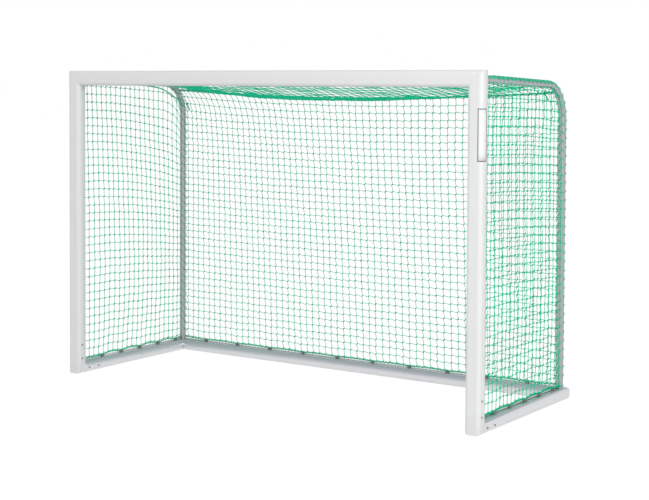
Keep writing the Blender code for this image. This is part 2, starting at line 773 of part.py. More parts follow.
def side_net_cells(side):
    """The top edge follows the bow to the net's corner, the rear edge from there down."""
    bend_start, _, bend_end, length = bow_distances()
    front = FRONT_STANDOFF
    foot = length - GROUND_STANDOFF
    corner = bend_start + (bend_end - bend_start) * SIDE_CORNER
    edge_angle = SEAM_ANGLE - ROPE_TO_NET / ROPE_ON_BOW

    def on_bow(distance):
        return beside_bow(side, distance, NET_ON_BOW, edge_angle)

    def top_distance(column):
        return front + (corner - front) * column / SIDE_COLUMNS

    def rear_distance(row):
        return foot + (corner - foot) * row / NET_ROWS

    low_front = Vector((side * POST_X, POST_BACK_Y + FRONT_STANDOFF, RAIL_TOP_Z + GROUND_STANDOFF))
    low_rear, high_front = on_bow(foot), on_bow(front)

    def high(part):
        return on_bow(top_distance(part * SIDE_COLUMNS))

    def low(part):
        straight = blend(low_front, low_rear, part)
        return Vector((blend(low_front.x, low_rear.x, part ** 4), straight.y, straight.z))

    def point_at(column, row):
        part = row / NET_ROWS
        first = blend(low_front, high_front, part)
        first.x = blend(low_front.x, high_front.x, part ** 4)
        return patch_point(low, high, first, on_bow(rear_distance(row)), column / SIDE_COLUMNS, part)

    cells = []
    for row in range(NET_ROWS):
        for column in range(SIDE_COLUMNS):
            cell = [point_at(column, row), point_at(column + 1, row)]
            if column == SIDE_COLUMNS - 1:
                cell += [on_bow(mark) for mark in between(rear_distance(row), rear_distance(row + 1))]
            cell.append(point_at(column + 1, row + 1))
            if row == NET_ROWS - 1:
                cell += [on_bow(mark) for mark in between(top_distance(column + 1), top_distance(column))]
            cell.append(point_at(column, row + 1))
            cells.append(cell)
    return cells


def fullness(across, along):
    """Share of a panel's belly at a spot: nothing at the edges, full over most of the width."""
    return (1.0 - abs(2.0 * across - 1.0) ** 5) * 4.0 * along * (1.0 - along)


def wrapped_panel_cells(distances, low, high, belly):
    """Roof or back: a patch between the bows and a narrow strip wrapped round each bow.

    The rows lie at distances along the bow, low and high are the panel's two edges.
    """
    edge_angle = SEAM_ANGLE + ROPE_TO_NET / ROPE_ON_BOW
    crest_angle = edge_angle + WRAP_ANGLE
    marks = bend_marks(BEND_ROWS)

    def on_bow(side, distance, angle):
        if distance in marks:
            return corner_on_bend(side, distance, NET_OVER_BOW, angle, BEND_ROWS)
        return beside_bow(side, distance, NET_OVER_BOW, angle)

    def point_at(column, row):
        first = on_bow(-1, distances[row], crest_angle)
        last = on_bow(1, distances[row], crest_angle)
        across = column / WIDE_COLUMNS
        along = (distances[row] - distances[0]) / (distances[-1] - distances[0])
        return patch_point(low, high, first, last, across, along) + belly * fullness(across, along)

    cells = []
    for row in range(len(distances) - 1):
        for column in range(WIDE_COLUMNS):
            cells.append([point_at(column, row), point_at(column + 1, row),
                          point_at(column + 1, row + 1), point_at(column, row + 1)])
        for side, column in ((-1, 0), (1, WIDE_COLUMNS)):
            cells.append([on_bow(side, distances[row], edge_angle), point_at(column, row),
                          point_at(column, row + 1), on_bow(side, distances[row + 1], edge_angle)])
    return cells


def crest_of_net(side, distance):
    crest_angle = SEAM_ANGLE + ROPE_TO_NET / ROPE_ON_BOW + WRAP_ANGLE
    return beside_bow(side, distance, NET_OVER_BOW, crest_angle)


def along_rear_rope(start, part):
    """The net's edge from one bow to the other, hung parallel to the rear rope."""
    across = start.x * (1.0 - 2.0 * part)
    return start + rear_rope_point(across) - rear_rope_point(start.x)


def roof_cells():
    _, middle, _, _ = bow_distances()
    marks = bend_marks(BEND_ROWS)[:BEND_ROWS // 2]
    distances = spread(FRONT_STANDOFF, marks[0], ROOF_ROWS + 1)[:-1] + marks + [middle - ROPE_TO_NET]
    front = crest_of_net(-1, distances[0])
    rear = crest_of_net(-1, distances[-1])

    def low(part):
        at_crossbar = blend(CROSSBAR_Z, front.z, abs(2.0 * part - 1.0) ** 8)
        return Vector((front.x * (1.0 - 2.0 * part), front.y, at_crossbar))

    return wrapped_panel_cells(distances, low, lambda part: along_rear_rope(rear, part),
                               AXIS_Z * -ROOF_SAG)


def back_cells():
    _, middle, _, length = bow_distances()
    marks = bend_marks(BEND_ROWS)[BEND_ROWS // 2:]
    foot = length - REAR_STANDOFF
    distances = [middle + ROPE_TO_NET] + marks + spread(marks[-1], foot, NET_ROWS + 1)[1:]
    top = crest_of_net(-1, distances[0])
    bottom = crest_of_net(-1, distances[-1])

    def high(part):
        at_rail = blend(REAR_RAIL_Y, bottom.y, abs(2.0 * part - 1.0) ** 8)
        return Vector((bottom.x * (1.0 - 2.0 * part), at_rail, bottom.z))

    return wrapped_panel_cells(distances, lambda part: along_rear_rope(top, part), high,
                               AXIS_Y * BACK_BELLY)


def build_nets(material):
    build_net("roof_net", roof_cells(), material)
    build_net("back_net", back_cells(), material)
    build_net("left_side_net", side_net_cells(-1), material)
    build_net("right_side_net", side_net_cells(1), material)


def main():
    clear_scene()
    white = make_material("white_powder_coat", (0.86, 0.86, 0.85), 0.35)
    bare = make_material("brushed_aluminium", (0.66, 0.67, 0.69), 0.38, 1.0)
    cast = make_material("cast_aluminium", (0.52, 0.53, 0.54), 0.6, 1.0)
    steel = make_material("zinc_plated_steel", (0.45, 0.45, 0.46), 0.35, 1.0)
    plastic = make_material("dark_plastic", (0.045, 0.035, 0.035), 0.55)
    twine = make_material("green_twine", (0.0, 0.36, 0.16), 0.8)

    crossbar = build_crossbar(white)
    fuse_front_hooks(crossbar, rear_hook_places(), AXIS_Z * -1.0,
                     lambda along: Vector((along, POST_BACK_Y, CROSSBAR_Z)))
    build_rear_rail(bare)
    for side_name, side in (("left", -1), ("right", 1)):
        post = build_post(side_name, side, white)
        rail = build_side_rail(side_name, side, bare)
        elbow = build_elbow(side_name, side, cast)
        drill_screw_holes(side, (post, rail, elbow))
        fuse_front_hooks(post, post_hook_places(), AXIS_X * -side,
                         lambda along, side=side: Vector((side * POST_X, POST_BACK_Y, along)))
        build_screws(side_name, side, steel)
        build_bow(side_name, side, bare)
        build_spigots(side_name, side, cast)
    build_ground_hooks(plastic)
    build_ropes(twine)
    build_nets(twine)


main()
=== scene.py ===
"""Looks for the free-standing football goal: finishes, laid ropes, knotted nets and a label.

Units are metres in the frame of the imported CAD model. +X is to the right seen from the
pitch, +Y goes into the goal and +Z is up. The file is laid out as an add-on and run as a
script.
"""
import bisect
import json
import math

import bmesh
import bpy
from bpy.props import FloatProperty, FloatVectorProperty, IntProperty, PointerProperty
from mathutils import Matrix, Vector

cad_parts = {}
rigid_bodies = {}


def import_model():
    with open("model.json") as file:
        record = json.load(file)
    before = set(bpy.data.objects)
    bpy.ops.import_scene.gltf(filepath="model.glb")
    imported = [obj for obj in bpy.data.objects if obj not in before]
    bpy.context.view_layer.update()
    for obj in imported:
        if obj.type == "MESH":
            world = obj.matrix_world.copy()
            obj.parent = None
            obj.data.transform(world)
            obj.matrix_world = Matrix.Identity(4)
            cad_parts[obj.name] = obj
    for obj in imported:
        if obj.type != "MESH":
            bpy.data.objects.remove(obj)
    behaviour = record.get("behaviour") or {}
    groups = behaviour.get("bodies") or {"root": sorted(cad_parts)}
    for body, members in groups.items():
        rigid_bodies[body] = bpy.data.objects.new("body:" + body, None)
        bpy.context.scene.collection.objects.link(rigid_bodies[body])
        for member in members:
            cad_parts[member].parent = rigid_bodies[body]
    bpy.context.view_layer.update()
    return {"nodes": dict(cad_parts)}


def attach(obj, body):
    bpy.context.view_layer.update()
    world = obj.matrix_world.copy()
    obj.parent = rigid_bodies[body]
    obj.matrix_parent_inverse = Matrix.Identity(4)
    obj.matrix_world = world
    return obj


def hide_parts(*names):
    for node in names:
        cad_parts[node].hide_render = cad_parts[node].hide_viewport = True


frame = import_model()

bl_info = {
    "name": "Football goal looks",
    "version": (1, 0, 0),
    "blender": (4, 5, 0),
    "location": "3D View > Sidebar > Goal",
    "description": "Finishes, ropes and knotted nets for a free-standing football goal",
    "category": "Object",
}

BODY = "root"

# Sizes of the frame, as in the CAD model
POST_X = 1.240
CROSSBAR_Z = 1.640
REAR_RAIL_Y = 0.460
FRONT_Y = -0.500
POST_BACK_Y = -0.438
RAIL_TOP_Z = 0.062
PROFILE_WIDTH = 0.080
FRONT_RADIUS = 0.020
BOW_RADIUS = 0.018
BOW_WALL = 0.002
BOW_BEND_RADIUS = 0.180
BOW_FALL = 0.034
BOW_X = 1.235
BOW_INSET = POST_X - BOW_X
CLEARANCE = 0.0003
HOOK_LENGTH = 0.016
SIDE_HOOK_FIRST = 0.170
SIDE_HOOK_LAST = 0.110
CORNER_HOOK_INSET = 0.180

# How close points are joined, and the angle up to which a surface is smooth
WELD_DISTANCE = 0.00001
PROFILE_SMOOTH = math.radians(28.0)
TUBE_SMOOTH = math.radians(40.0)

# Ropes, which run where the CAD ropes do
ROPE_RADIUS = 0.003
ROPE_STANDOFF = 0.0096
FRONT_SLACK = 0.009
GROUND_SLACK = 0.008
REAR_SLACK = 0.003
ROPE_ON_BOW = BOW_RADIUS + ROPE_RADIUS + CLEARANCE
SEAM_ANGLE = math.radians(25.0)
REAR_ROPE_SAG = 0.040
ROPE_FOOT = RAIL_TOP_Z + ROPE_STANDOFF + ROPE_RADIUS + 2.0 * CLEARANCE
HALF_HOOK = HOOK_LENGTH / 2.0 + ROPE_RADIUS
SWING_PARTS = (0.12, 0.31, 0.5, 0.69, 0.88)
SWING_FULLNESS = 0.8
GROUND_ROPE_TURN = (math.radians(-30.0), math.radians(120.0))
SEAM_POINTS = 97
SPAN_POINTS = 41
SPARE_CORD = ((-1.226, -0.30, 1.617), (-1.222, -0.031, 1.6035), (-1.222, 0.102, 1.599),
              (-1.222, 0.223, 1.5845), (-1.222, 0.300, 1.5595), (-1.222, 0.401, 1.508),
              (-1.230, 0.441, 1.474))
TIES = {"left": Vector((-1.208, 0.462, 1.497)), "right": Vector((1.150, 0.436, 1.577))}
TIE_LOOP = (0.0042, 0.0035, 0.0006)
TIE_TAIL = ((0.008, -0.003, 0.016), (0.015, -0.005, 0.028), (0.024, -0.003, 0.042))

# Nets
FRONT_STANDOFF = 0.0239
GROUND_STANDOFF = 0.0229
REAR_STANDOFF = 0.0179
NET_TO_ROPE = 0.0052
NET_ON_BOW = 0.0203
WRAP_ANGLE = math.radians(47.0)
WRAP = WRAP_ANGLE * NET_ON_BOW
WRAP_MARKS = (0.09, 0.18, 0.27, 0.36)
SIDE_CORNERS = {-1: 0.88, 1: 0.50}
SIDE_FULLNESS = 1.07
WIDE_FULLNESS = 1.06
WIDE_CROWDING = 0.04
BACK_FULLNESS = 1.11
BACK_GATHER = 0.022
SIDE_SWAY = 0.03
SIDE_SWAY_HEIGHT = 1.6
SIDE_CROWDING = 0.018
SIDE_DROP_EASE = 1.9
SIDE_FOOT_TURN = 4
CREST_POINTS = 61
RIPPLE_FADE = 3.0
ROOF_SAG = 0.042
ROOF_SAG_REARWARD = 2.2
BACK_BELLY = 0.012
BELLY_WIDTH = 4
BEND_HOLD = 4.0
EDGE_ANGLE = NET_TO_ROPE / ROPE_ON_BOW

# Powers that keep a change near an edge of a net: the higher, the nearer
TOWARDS_EDGE = 6
NEAR_EDGE = 8
CLOSE_TO_EDGE = 12
AT_EDGE = 16

# Lashings, the net's looseness by panel, and its knots
LASHING_PITCH = 0.090
GROUND_LASHING_PITCH = 0.024
LASHING_STEPS = 14
LASHING_LIFT = 0.0022
OVER_ROPE_LIFT = 0.001
OVER_ROPE_FADE = 8
LASHING_INSET = 0.02
LASHING_LAY = 0.020
ROOF_LOOSENESS = 1.8
ROOF_TWINE = 1.15
KNOT_REACH = 0.3
KNOT_TURN = 0.35
KNOT_GROWTH = (0.85, 1.15)
SIDE_STEPS = (1.2, 0.4)
WIDE_STEPS = (-1.0, -1.0)
NEARBY = 0.02
STEPS_PER_LAY = 7.0
STRAND_VALLEY = 0.74

# Label film on the right post, fixed colours, and streaks across and along a profile
LABEL_LIFT = 0.0002
LABEL_FILM = 0.0001
LABEL_WHITE = (0.90, 0.90, 0.90)
LABEL_LINE = (0.10, 0.10, 0.11)
STEEL = (0.34, 0.33, 0.32)
CAST = (0.50, 0.51, 0.52)
COAT_DUST = (0.42, 0.40, 0.36, 1.0)
RAIL_DUST = (0.36, 0.34, 0.31, 1.0)
RAIL_STREAKS = (60.0, 1.2)
TUBE_STREAKS = (4.0, 3.0)

# Studio: the floor glows by a share and a strength, the sky changes over a band of heights
# and away from the far side, and the camera is in pixels and degrees
FLOOR_REACH = 40.0
FLOOR_DROP = 0.0005
FLOOR_GLOW = (0.86, 1.10)
CEILING_BAND = (0.08, 0.50)
FAR_SIDE = Vector((-0.25, 0.90, 0.36))
FAR_BAND = (0.0, 0.60)
KEY_PLACE = Vector((5.5, -4.0, 4.2))
KEY_TARGET = Vector((0.0, 0.0, 0.8))
KEY_SIZE = 4.0
PHOTO_SIZE = (649.0, 500.0)
CAMERA_FOCAL = 1460.39
CAMERA_CENTRE = (289.35, 149.61)
CAMERA_TURN = (34.812, 2.543, 0.234)
CAMERA_PLACE = (4.3439, -6.4387, 1.6087)

AXIS_X = Vector((1.0, 0.0, 0.0))
AXIS_Y = Vector((0.0, 1.0, 0.0))
AXIS_Z = Vector((0.0, 0.0, 1.0))
SIDES = (("left", -1), ("right", 1))


# Lines of the frame

def spread(first, last, count):
    return [first + (last - first) * order / (count - 1) for order in range(count)]


def blend(first, last, part):
    return first + (last - first) * part


def ring_angles(count):
    return [2.0 * math.pi * order / count for order in range(count)]


def ring_steps(count):
    """Each place of a closed ring with the place after it."""
    return [(order, (order + 1) % count) for order in range(count)]


# The bow: distances along it from its front end to the bend, through it and down to its foot
BOW_SLOPE = math.atan(BOW_FALL)
BOW_BEND = math.pi / 2.0 - BOW_SLOPE
BEND_TANGENT = BOW_BEND_RADIUS * math.tan(BOW_BEND / 2.0)
BEND_CENTRE_Z = CROSSBAR_Z - BOW_FALL * (REAR_RAIL_Y - POST_BACK_Y) - BEND_TANGENT
BEND_CENTRE = Vector((0.0, REAR_RAIL_Y - BOW_BEND_RADIUS, BEND_CENTRE_Z))
BEND_START = (REAR_RAIL_Y - POST_BACK_Y) / math.cos(BOW_SLOPE) - BEND_TANGENT
BEND_MIDDLE = BEND_START + BOW_BEND * BOW_BEND_RADIUS / 2.0
BEND_END = BEND_START + BOW_BEND * BOW_BEND_RADIUS
BOW_LENGTH = BEND_END + (BEND_CENTRE_Z - RAIL_TOP_Z)

# Where the hooks stand along side rails, rear rail or crossbar, and posts
SIDE_HOOKS = spread(POST_BACK_Y + SIDE_HOOK_FIRST,
                    REAR_RAIL_Y - SIDE_HOOK_LAST + PROFILE_WIDTH / 2.0, 5)
REAR_HOOKS = spread(CORNER_HOOK_INSET - POST_X, POST_X - CORNER_HOOK_INSET, 10)
POST_HOOKS = spread(RAIL_TOP_Z + CORNER_HOOK_INSET, CROSSBAR_Z - CORNER_HOOK_INSET, 7)


def bow_frame(distance):
    """Centre and outward normal of the bow at a distance from its front end."""
    if distance <= BEND_START:
        along = Vector((0.0, math.cos(BOW_SLOPE), -math.sin(BOW_SLOPE)))
        normal = Vector((0.0, math.sin(BOW_SLOPE), math.cos(BOW_SLOPE)))
        return Vector((0.0, POST_BACK_Y, CROSSBAR_Z)) + along * distance, normal
    if distance <= BEND_END:
        turn = BOW_BEND - (distance - BEND_START) / BOW_BEND_RADIUS
        normal = Vector((0.0, math.cos(turn), math.sin(turn)))
        return BEND_CENTRE + normal * BOW_BEND_RADIUS, normal
    past = AXIS_Z * (distance - BEND_END)
    return BEND_CENTRE + AXIS_Y * BOW_BEND_RADIUS - past, AXIS_Y.copy()


def beside_bow(side, distance, radius, angle):
    """A point round the bow: angle 0 is its outer side, 90 degrees its top or back."""
    centre, normal = bow_frame(distance)
    across = side * (BOW_X + radius * math.cos(angle))
    return centre + AXIS_X * across + normal * (radius * math.sin(angle))


# Ropes

def swing_between(places, along, slack):
    """How far a rope stands away from the frame between two of its hooks."""
    for near, far in zip(places, places[1:]):
        part = (along - near - HALF_HOOK) / (far - near - 2.0 * HALF_HOOK)
        if 0.0 < part < 1.0:
            return slack * math.sin(math.pi * part) ** SWING_FULLNESS
    return 0.0


def laced_run(places, point_at, pull, slack):
    """A rope that runs straight through each hook and is pulled out between two hooks."""
    points = []
    for order, along in enumerate(places):
        if order:
            before = places[order - 1]
            for part in SWING_PARTS:
                spot = blend(before + HALF_HOOK, along - HALF_HOOK, part)
                points.append(point_at(spot) + pull * swing_between(places, spot, slack))
        points.extend(point_at(along + shift) for shift in (-HALF_HOOK, 0.0, HALF_HOOK))
    return points


def mirrored(points):
    return [Vector((-point.x, point.y, point.z)) for point in reversed(points)]


def ground_rope():
    level = RAIL_TOP_Z + ROPE_STANDOFF
    left = [Vector((-POST_X, POST_BACK_Y + CLEARANCE, level))]
    left += laced_run(SIDE_HOOKS, lambda along: Vector((-POST_X, along, level)), AXIS_Z,
                      GROUND_SLACK)
    for angle in spread(*GROUND_ROPE_TURN, 9):
        left.append(Vector((-BOW_X - ROPE_ON_BOW * math.cos(angle),
                            REAR_RAIL_Y + ROPE_ON_BOW * math.sin(angle), level)))
    rear = laced_run(REAR_HOOKS, lambda along: Vector((along, REAR_RAIL_Y, level)),
                     AXIS_Z, REAR_SLACK)
    return left + rear + mirrored(left)


def front_rope():
    """Up the left post, inside the bow's end, along the crossbar and down the right post."""
    back = POST_BACK_Y + ROPE_STANDOFF
    corner = ROPE_ON_BOW * math.sqrt(2.0) + BOW_INSET
    left = [Vector((-POST_X, back, ROPE_FOOT))]
    left += laced_run(POST_HOOKS, lambda along: Vector((-POST_X, back, along)),
                      AXIS_Y, FRONT_SLACK)
    left.append(Vector((-POST_X, back, CROSSBAR_Z - corner)))
    top = [Vector((corner - POST_X, back, CROSSBAR_Z))]
    top += laced_run(REAR_HOOKS, lambda along: Vector((along, back, CROSSBAR_Z)),
                     AXIS_Y, FRONT_SLACK)
    top.append(Vector((POST_X - corner, back, CROSSBAR_Z)))
    return left + top + mirrored(left)


def seam_rope(side):
    """Along the bow, from the post's back over the bend and down to the ground rope."""
    foot = BOW_LENGTH - ROPE_STANDOFF - ROPE_RADIUS - 2.0 * CLEARANCE
    return [beside_bow(side, distance, ROPE_ON_BOW, SEAM_ANGLE)
            for distance in spread(3.0 * CLEARANCE, foot, SEAM_POINTS)]


def rear_rope_point(across):
    """The rope between roof and back, which sags between the tops of the two bows."""
    centre, normal = bow_frame(BEND_MIDDLE)
    sag = REAR_ROPE_SAG * max(0.0, 1.0 - (across / BOW_X) ** 2)
    return centre + normal * ROPE_ON_BOW + AXIS_X * across - AXIS_Z * sag


def rear_rope():
    """Each end goes over its bow and down to the seam rope."""
    end_angle = SEAM_ANGLE + (ROPE_RADIUS + CLEARANCE) / ROPE_ON_BOW
    left = [beside_bow(-1, BEND_MIDDLE, ROPE_ON_BOW, angle)
            for angle in spread(end_angle, math.pi / 2.0, 5)]
    places = spread(-BOW_X, BOW_X, SPAN_POINTS)[1:-1]
    between = [rear_rope_point(across) for across in places]
    return left + between + mirrored(left)


def seam_lashing(side, start):
    """Twine wound round tube and seam rope, which catches the edges of both nets."""
    distance, angle, points = start, 0.0, []
    while distance < BOW_LENGTH - REAR_STANDOFF - LASHING_INSET:
        over_rope = max(0.0, math.cos(angle - SEAM_ANGLE)) ** OVER_ROPE_FADE
        radius = BOW_RADIUS + LASHING_LIFT + over_rope * (2.0 * ROPE_RADIUS + OVER_ROPE_LIFT)
        points.append(beside_bow(side, distance, radius, angle))
        angle -= 2.0 * math.pi / LASHING_STEPS
        distance += LASHING_PITCH / LASHING_STEPS
    return points


def wound_round(route, radius, pitch):
    """Twine wound round a rope that lies more or less level, one turn for each pitch."""
    points, travelled = [], 0.0
    for first, last in zip(route, route[1:]):
        length = (last - first).length
        aside = (last - first).cross(AXIS_Z).normalized()
        upward = aside.cross(last - first).normalized()
        count = max(1, round(length / pitch * LASHING_STEPS))
        for order in range(count):
            angle = 2.0 * math.pi * (travelled + length * order / count) / pitch
            turn = aside * math.cos(angle) + upward * math.sin(angle)
            points.append(blend(first, last, order / count) + turn * radius)
        travelled += length
    return points


def tie_points(spot):
    """A tied-off end: two turns round a knot of the net and a short tail that hangs."""
    wide, deep, drop = TIE_LOOP
    turns = [Vector((-wide * math.cos(angle), deep * math.sin(angle), -drop * step))
             for step, angle in enumerate((ring_angles(7) * 3)[:15])]
    return [spot + point for point in turns + [Vector((x, y, -z)) for x, y, z in TIE_TAIL]]


# Net surfaces, each a function of a column and a row that need not be whole

def patch_point(low, high, first, last, across, along, hold=1.0):
    """A point between two border curves, pulled so that its row runs from first to last.

    The higher the hold, the nearer to the row's ends the pull stays.
    """
    first_pull = first - blend(low(0.0), high(0.0), along)
    last_pull = last - blend(low(1.0), high(1.0), along)
    pull = first_pull * (1.0 - across) ** hold + last_pull * across ** hold
    return blend(low(across), high(across), along) + pull


def side_surface(side, columns, rows):
    """Row 0 lies along the ground rail, column 0 beside the post, the last one beside the bow."""
    foot = BOW_LENGTH - GROUND_STANDOFF
    corner = blend(BEND_START, BEND_END, SIDE_CORNERS[side])
    edge_angle = SEAM_ANGLE - EDGE_ANGLE

    def on_bow(distance):
        return beside_bow(side, distance, NET_ON_BOW, edge_angle)

    crest = [on_bow(distance) for distance in spread(FRONT_STANDOFF, corner, CREST_POINTS)]
    levels = [spot.y for spot in crest]

    low_front = Vector((side * POST_X, POST_BACK_Y + FRONT_STANDOFF,
                        RAIL_TOP_Z + GROUND_STANDOFF))
    low_rear, high_front = on_bow(foot), on_bow(FRONT_STANDOFF)

    def high(part):
        level = blend(levels[0], levels[-1], part)
        order = min(max(bisect.bisect(levels, level), 1), len(levels) - 1)
        share = (level - levels[order - 1]) / (levels[order] - levels[order - 1])
        return blend(crest[order - 1], crest[order], share)

    def gentle(part):
        spot = high(part)
        spot.z = blend(crest[0].z, crest[-1].z, part ** SIDE_DROP_EASE)
        return spot

    def low(part):
        straight = blend(low_front, low_rear, part)
        across = blend(low_front.x, low_rear.x, part ** SIDE_FOOT_TURN)
        return Vector((across, straight.y, straight.z))

    def surface(column, row):
        across, along = column / columns, row / rows
        sway = SIDE_SWAY * math.sin(math.pi * (1.0 - along) ** SIDE_SWAY_HEIGHT)
        across += 4.0 * across * (1.0 - across) * (sway - SIDE_CROWDING)
        first = blend(low_front, high_front, along)
        first.x = blend(low_front.x, high_front.x, along ** SIDE_FOOT_TURN)
        last = on_bow(blend(foot, corner, along))
        share = along ** TOWARDS_EDGE
        spot = patch_point(low, lambda part: blend(gentle(part), high(part), share),
                           first, last, across, along)
        lift = swing_between(SIDE_HOOKS, low(across).y, GROUND_SLACK) - GROUND_SLACK
        lift *= 1.0 - across ** NEAR_EDGE
        return spot + AXIS_Z * (lift * (1.0 - along) ** RIPPLE_FADE)

    return surface


def wrapped_point(side, distance, run):
    """A point of the roof or back net on its bow, at a run from the net's edge at the seam."""
    return beside_bow(side, distance, NET_ON_BOW, SEAM_ANGLE + EDGE_ANGLE + run / NET_ON_BOW)


def wrapped_surface(columns, rows, start, end, low, high, belly, lean, gather=0.0, ripple=None):
    """Roof or back: rows run round the left bow, across, and round the right bow."""
    width = 2.0 * BOW_X + 2.0 * WRAP

    def surface(column, row):
        along = row / rows
        distance = blend(start, end, along)
        run = width * column / columns
        if run < WRAP:
            return wrapped_point(-1, distance, run)
        if run > width - WRAP:
            return wrapped_point(1, distance, width - run)
        straight = (run - WRAP) / (width - 2.0 * WRAP)
        hold = (1.0 - (1.0 - straight) ** TOWARDS_EDGE) * (1.0 - straight ** TOWARDS_EDGE)
        outward = (1.0 - 2.0 * straight) * (1.0 - abs(2.0 * straight - 1.0) ** AT_EDGE)
        across = straight - WIDE_CROWDING * math.sin(math.pi * straight) / math.pi
        gathered = gather * outward * (1.0 - along) ** CLOSE_TO_EDGE
        across += lean * (along - 0.5) * hold - gathered
        first, last = (wrapped_point(side, distance, WRAP) for _, side in SIDES)
        spot = patch_point(low, high, first, last, across, along, BEND_HOLD) + belly(across, along)
        return spot + ripple(spot, along) if ripple else spot

    return surface


def fullness(across, along):
    """Share of a panel's belly at a spot: nothing at the edges, full over most of the width."""
    return (1.0 - abs(2.0 * across - 1.0) ** BELLY_WIDTH) * 4.0 * along * (1.0 - along)


def along_rear_rope(start, part):
    """The net's edge from one bow to the other, hung parallel to the rear rope."""
    across = start.x * (1.0 - 2.0 * part)
    return start + rear_rope_point(across) - rear_rope_point(start.x)


def roof_surface(columns, rows):
    end = BEND_MIDDLE - NET_TO_ROPE
    front, rear = wrapped_point(-1, FRONT_STANDOFF, WRAP), wrapped_point(-1, end, WRAP)

    def low(part):
        at_crossbar = blend(CROSSBAR_Z, front.z, abs(2.0 * part - 1.0) ** NEAR_EDGE)
        return Vector((front.x * (1.0 - 2.0 * part), front.y, at_crossbar))

    def belly(across, along):
        return AXIS_Z * (-ROOF_SAG * fullness(across, along ** ROOF_SAG_REARWARD))

    return wrapped_surface(columns, rows, FRONT_STANDOFF, end, low,
                           lambda part: along_rear_rope(rear, part), belly, 0.0)


def back_surface(columns, rows, lean):
    start, end = BEND_MIDDLE + NET_TO_ROPE, BOW_LENGTH - REAR_STANDOFF
    top, bottom = wrapped_point(-1, start, WRAP), wrapped_point(-1, end, WRAP)

    def high(part):
        at_rail = blend(REAR_RAIL_Y, bottom.y, abs(2.0 * part - 1.0) ** NEAR_EDGE)
        return Vector((bottom.x * (1.0 - 2.0 * part), at_rail, bottom.z))

    def ripple(spot, along):
        inside = max(0.0, 1.0 - (spot.x / POST_X) ** AT_EDGE)
        lift = swing_between(REAR_HOOKS, spot.x, REAR_SLACK) - REAR_SLACK
        return AXIS_Z * (lift * inside * along ** (2.0 * RIPPLE_FADE))

    def belly(across, along):
        return AXIS_Y * (BACK_BELLY * fullness(across, along))

    return wrapped_surface(columns, rows, start, end, lambda part: along_rear_rope(top, part),
                           high, belly, lean, BACK_GATHER, ripple)


# Guides that the node trees turn into twine and rope

def add_object(name, data):
    item = bpy.data.objects.new(name, data)
    bpy.context.scene.collection.objects.link(item)
    return item


def mesh_object(name, points, edges, faces=()):
    mesh = bpy.data.meshes.new(name)
    mesh.from_pydata(points, edges, faces)
    return add_object(name, mesh)


def chain_guide(name, points):
    return mesh_object(name, points, [(order, order + 1) for order in range(len(points) - 1)])


def add_values(mesh, name, values):
    """Stores a number or a direction for every point of a mesh."""
    if isinstance(values[0], float):
        mesh.attributes.new(name, "FLOAT", "POINT").data.foreach_set("value", values)
    else:
        flat = [part for value in values for part in value]
        mesh.attributes.new(name, "FLOAT_VECTOR", "POINT").data.foreach_set("vector", flat)


def strand_through(surface, along_row, index, count, step, reach):
    """One strand of a net: it enters each knot on one side and leaves on the other."""
    points = []

    def place(position, shift=0.0):
        if along_row:
            return surface(position, index + shift)
        return surface(index + shift, position)

    for knot in range(count + 1):
        here = place(knot)
        along = place(min(knot + NEARBY, count)) - place(max(knot - NEARBY, 0.0))
        aside = (place(knot, NEARBY if index < 1 else -NEARBY) - here).normalized()
        if index >= 1:
            aside.negate()
        shift = along.normalized() * reach + aside * step
        if knot:
            points.append(here - shift)
        if knot < count:
            points.append(here + shift)
    return points


def net_guide(name, surface, columns, rows, steps, reach, marks):
    """Every strand as a chain of points, and a lone point with a facing for every knot.

    The marks are further points on the first and last mesh of a row, where it lies on a bow.
    """
    points, edges = [], []
    values = {"knot": [], "loose": [], "facing": [], "diagonal": []}

    def add_point(point, *stored):
        points.append(point)
        for value, column in zip(stored, values.values()):
            column.append(value)

    for along_row, last, count, step in ((True, rows, columns, steps[0]),
                                         (False, columns, rows, steps[1])):
        for index in range(last + 1):
            chain = strand_through(surface, along_row, index, count, step, reach)
            loose = 0.0 if index in (0, last) else 1.0
            ease = [0.0] + [loose] * (len(chain) - 2) + [0.0]
            for start, place in ((0, 1), (columns - 1, -1)) if along_row else ():
                chain[place:place] = [surface(start + mark, index) for mark in marks]
                ease[place:place] = [0.0] * len(marks)
            first = len(points)
            edges += [(first + order, first + order + 1) for order in range(len(chain) - 1)]
            for point, loose in zip(chain, ease):
                add_point(point, 0.0, loose, AXIS_Y, AXIS_Z)
    for row in range(rows + 1):
        low, high = max(row - NEARBY, 0.0), min(row + NEARBY, rows)
        for column in range(columns + 1):
            near, far = max(column - NEARBY, 0.0), min(column + NEARBY, columns)
            along = surface(far, row) - surface(near, row)
            upward = surface(column, high) - surface(column, low)
            diagonal = along.normalized() + upward.normalized() * math.copysign(1.0, steps[0])
            loose = 0.0 if column in (0, columns) or row in (0, rows) else 1.0
            add_point(surface(column, row), 1.0, loose, along.cross(upward).normalized(),
                      diagonal.normalized())
    item = mesh_object(name, points, edges)
    for label, column in values.items():
        add_values(item.data, label, column)
    return item


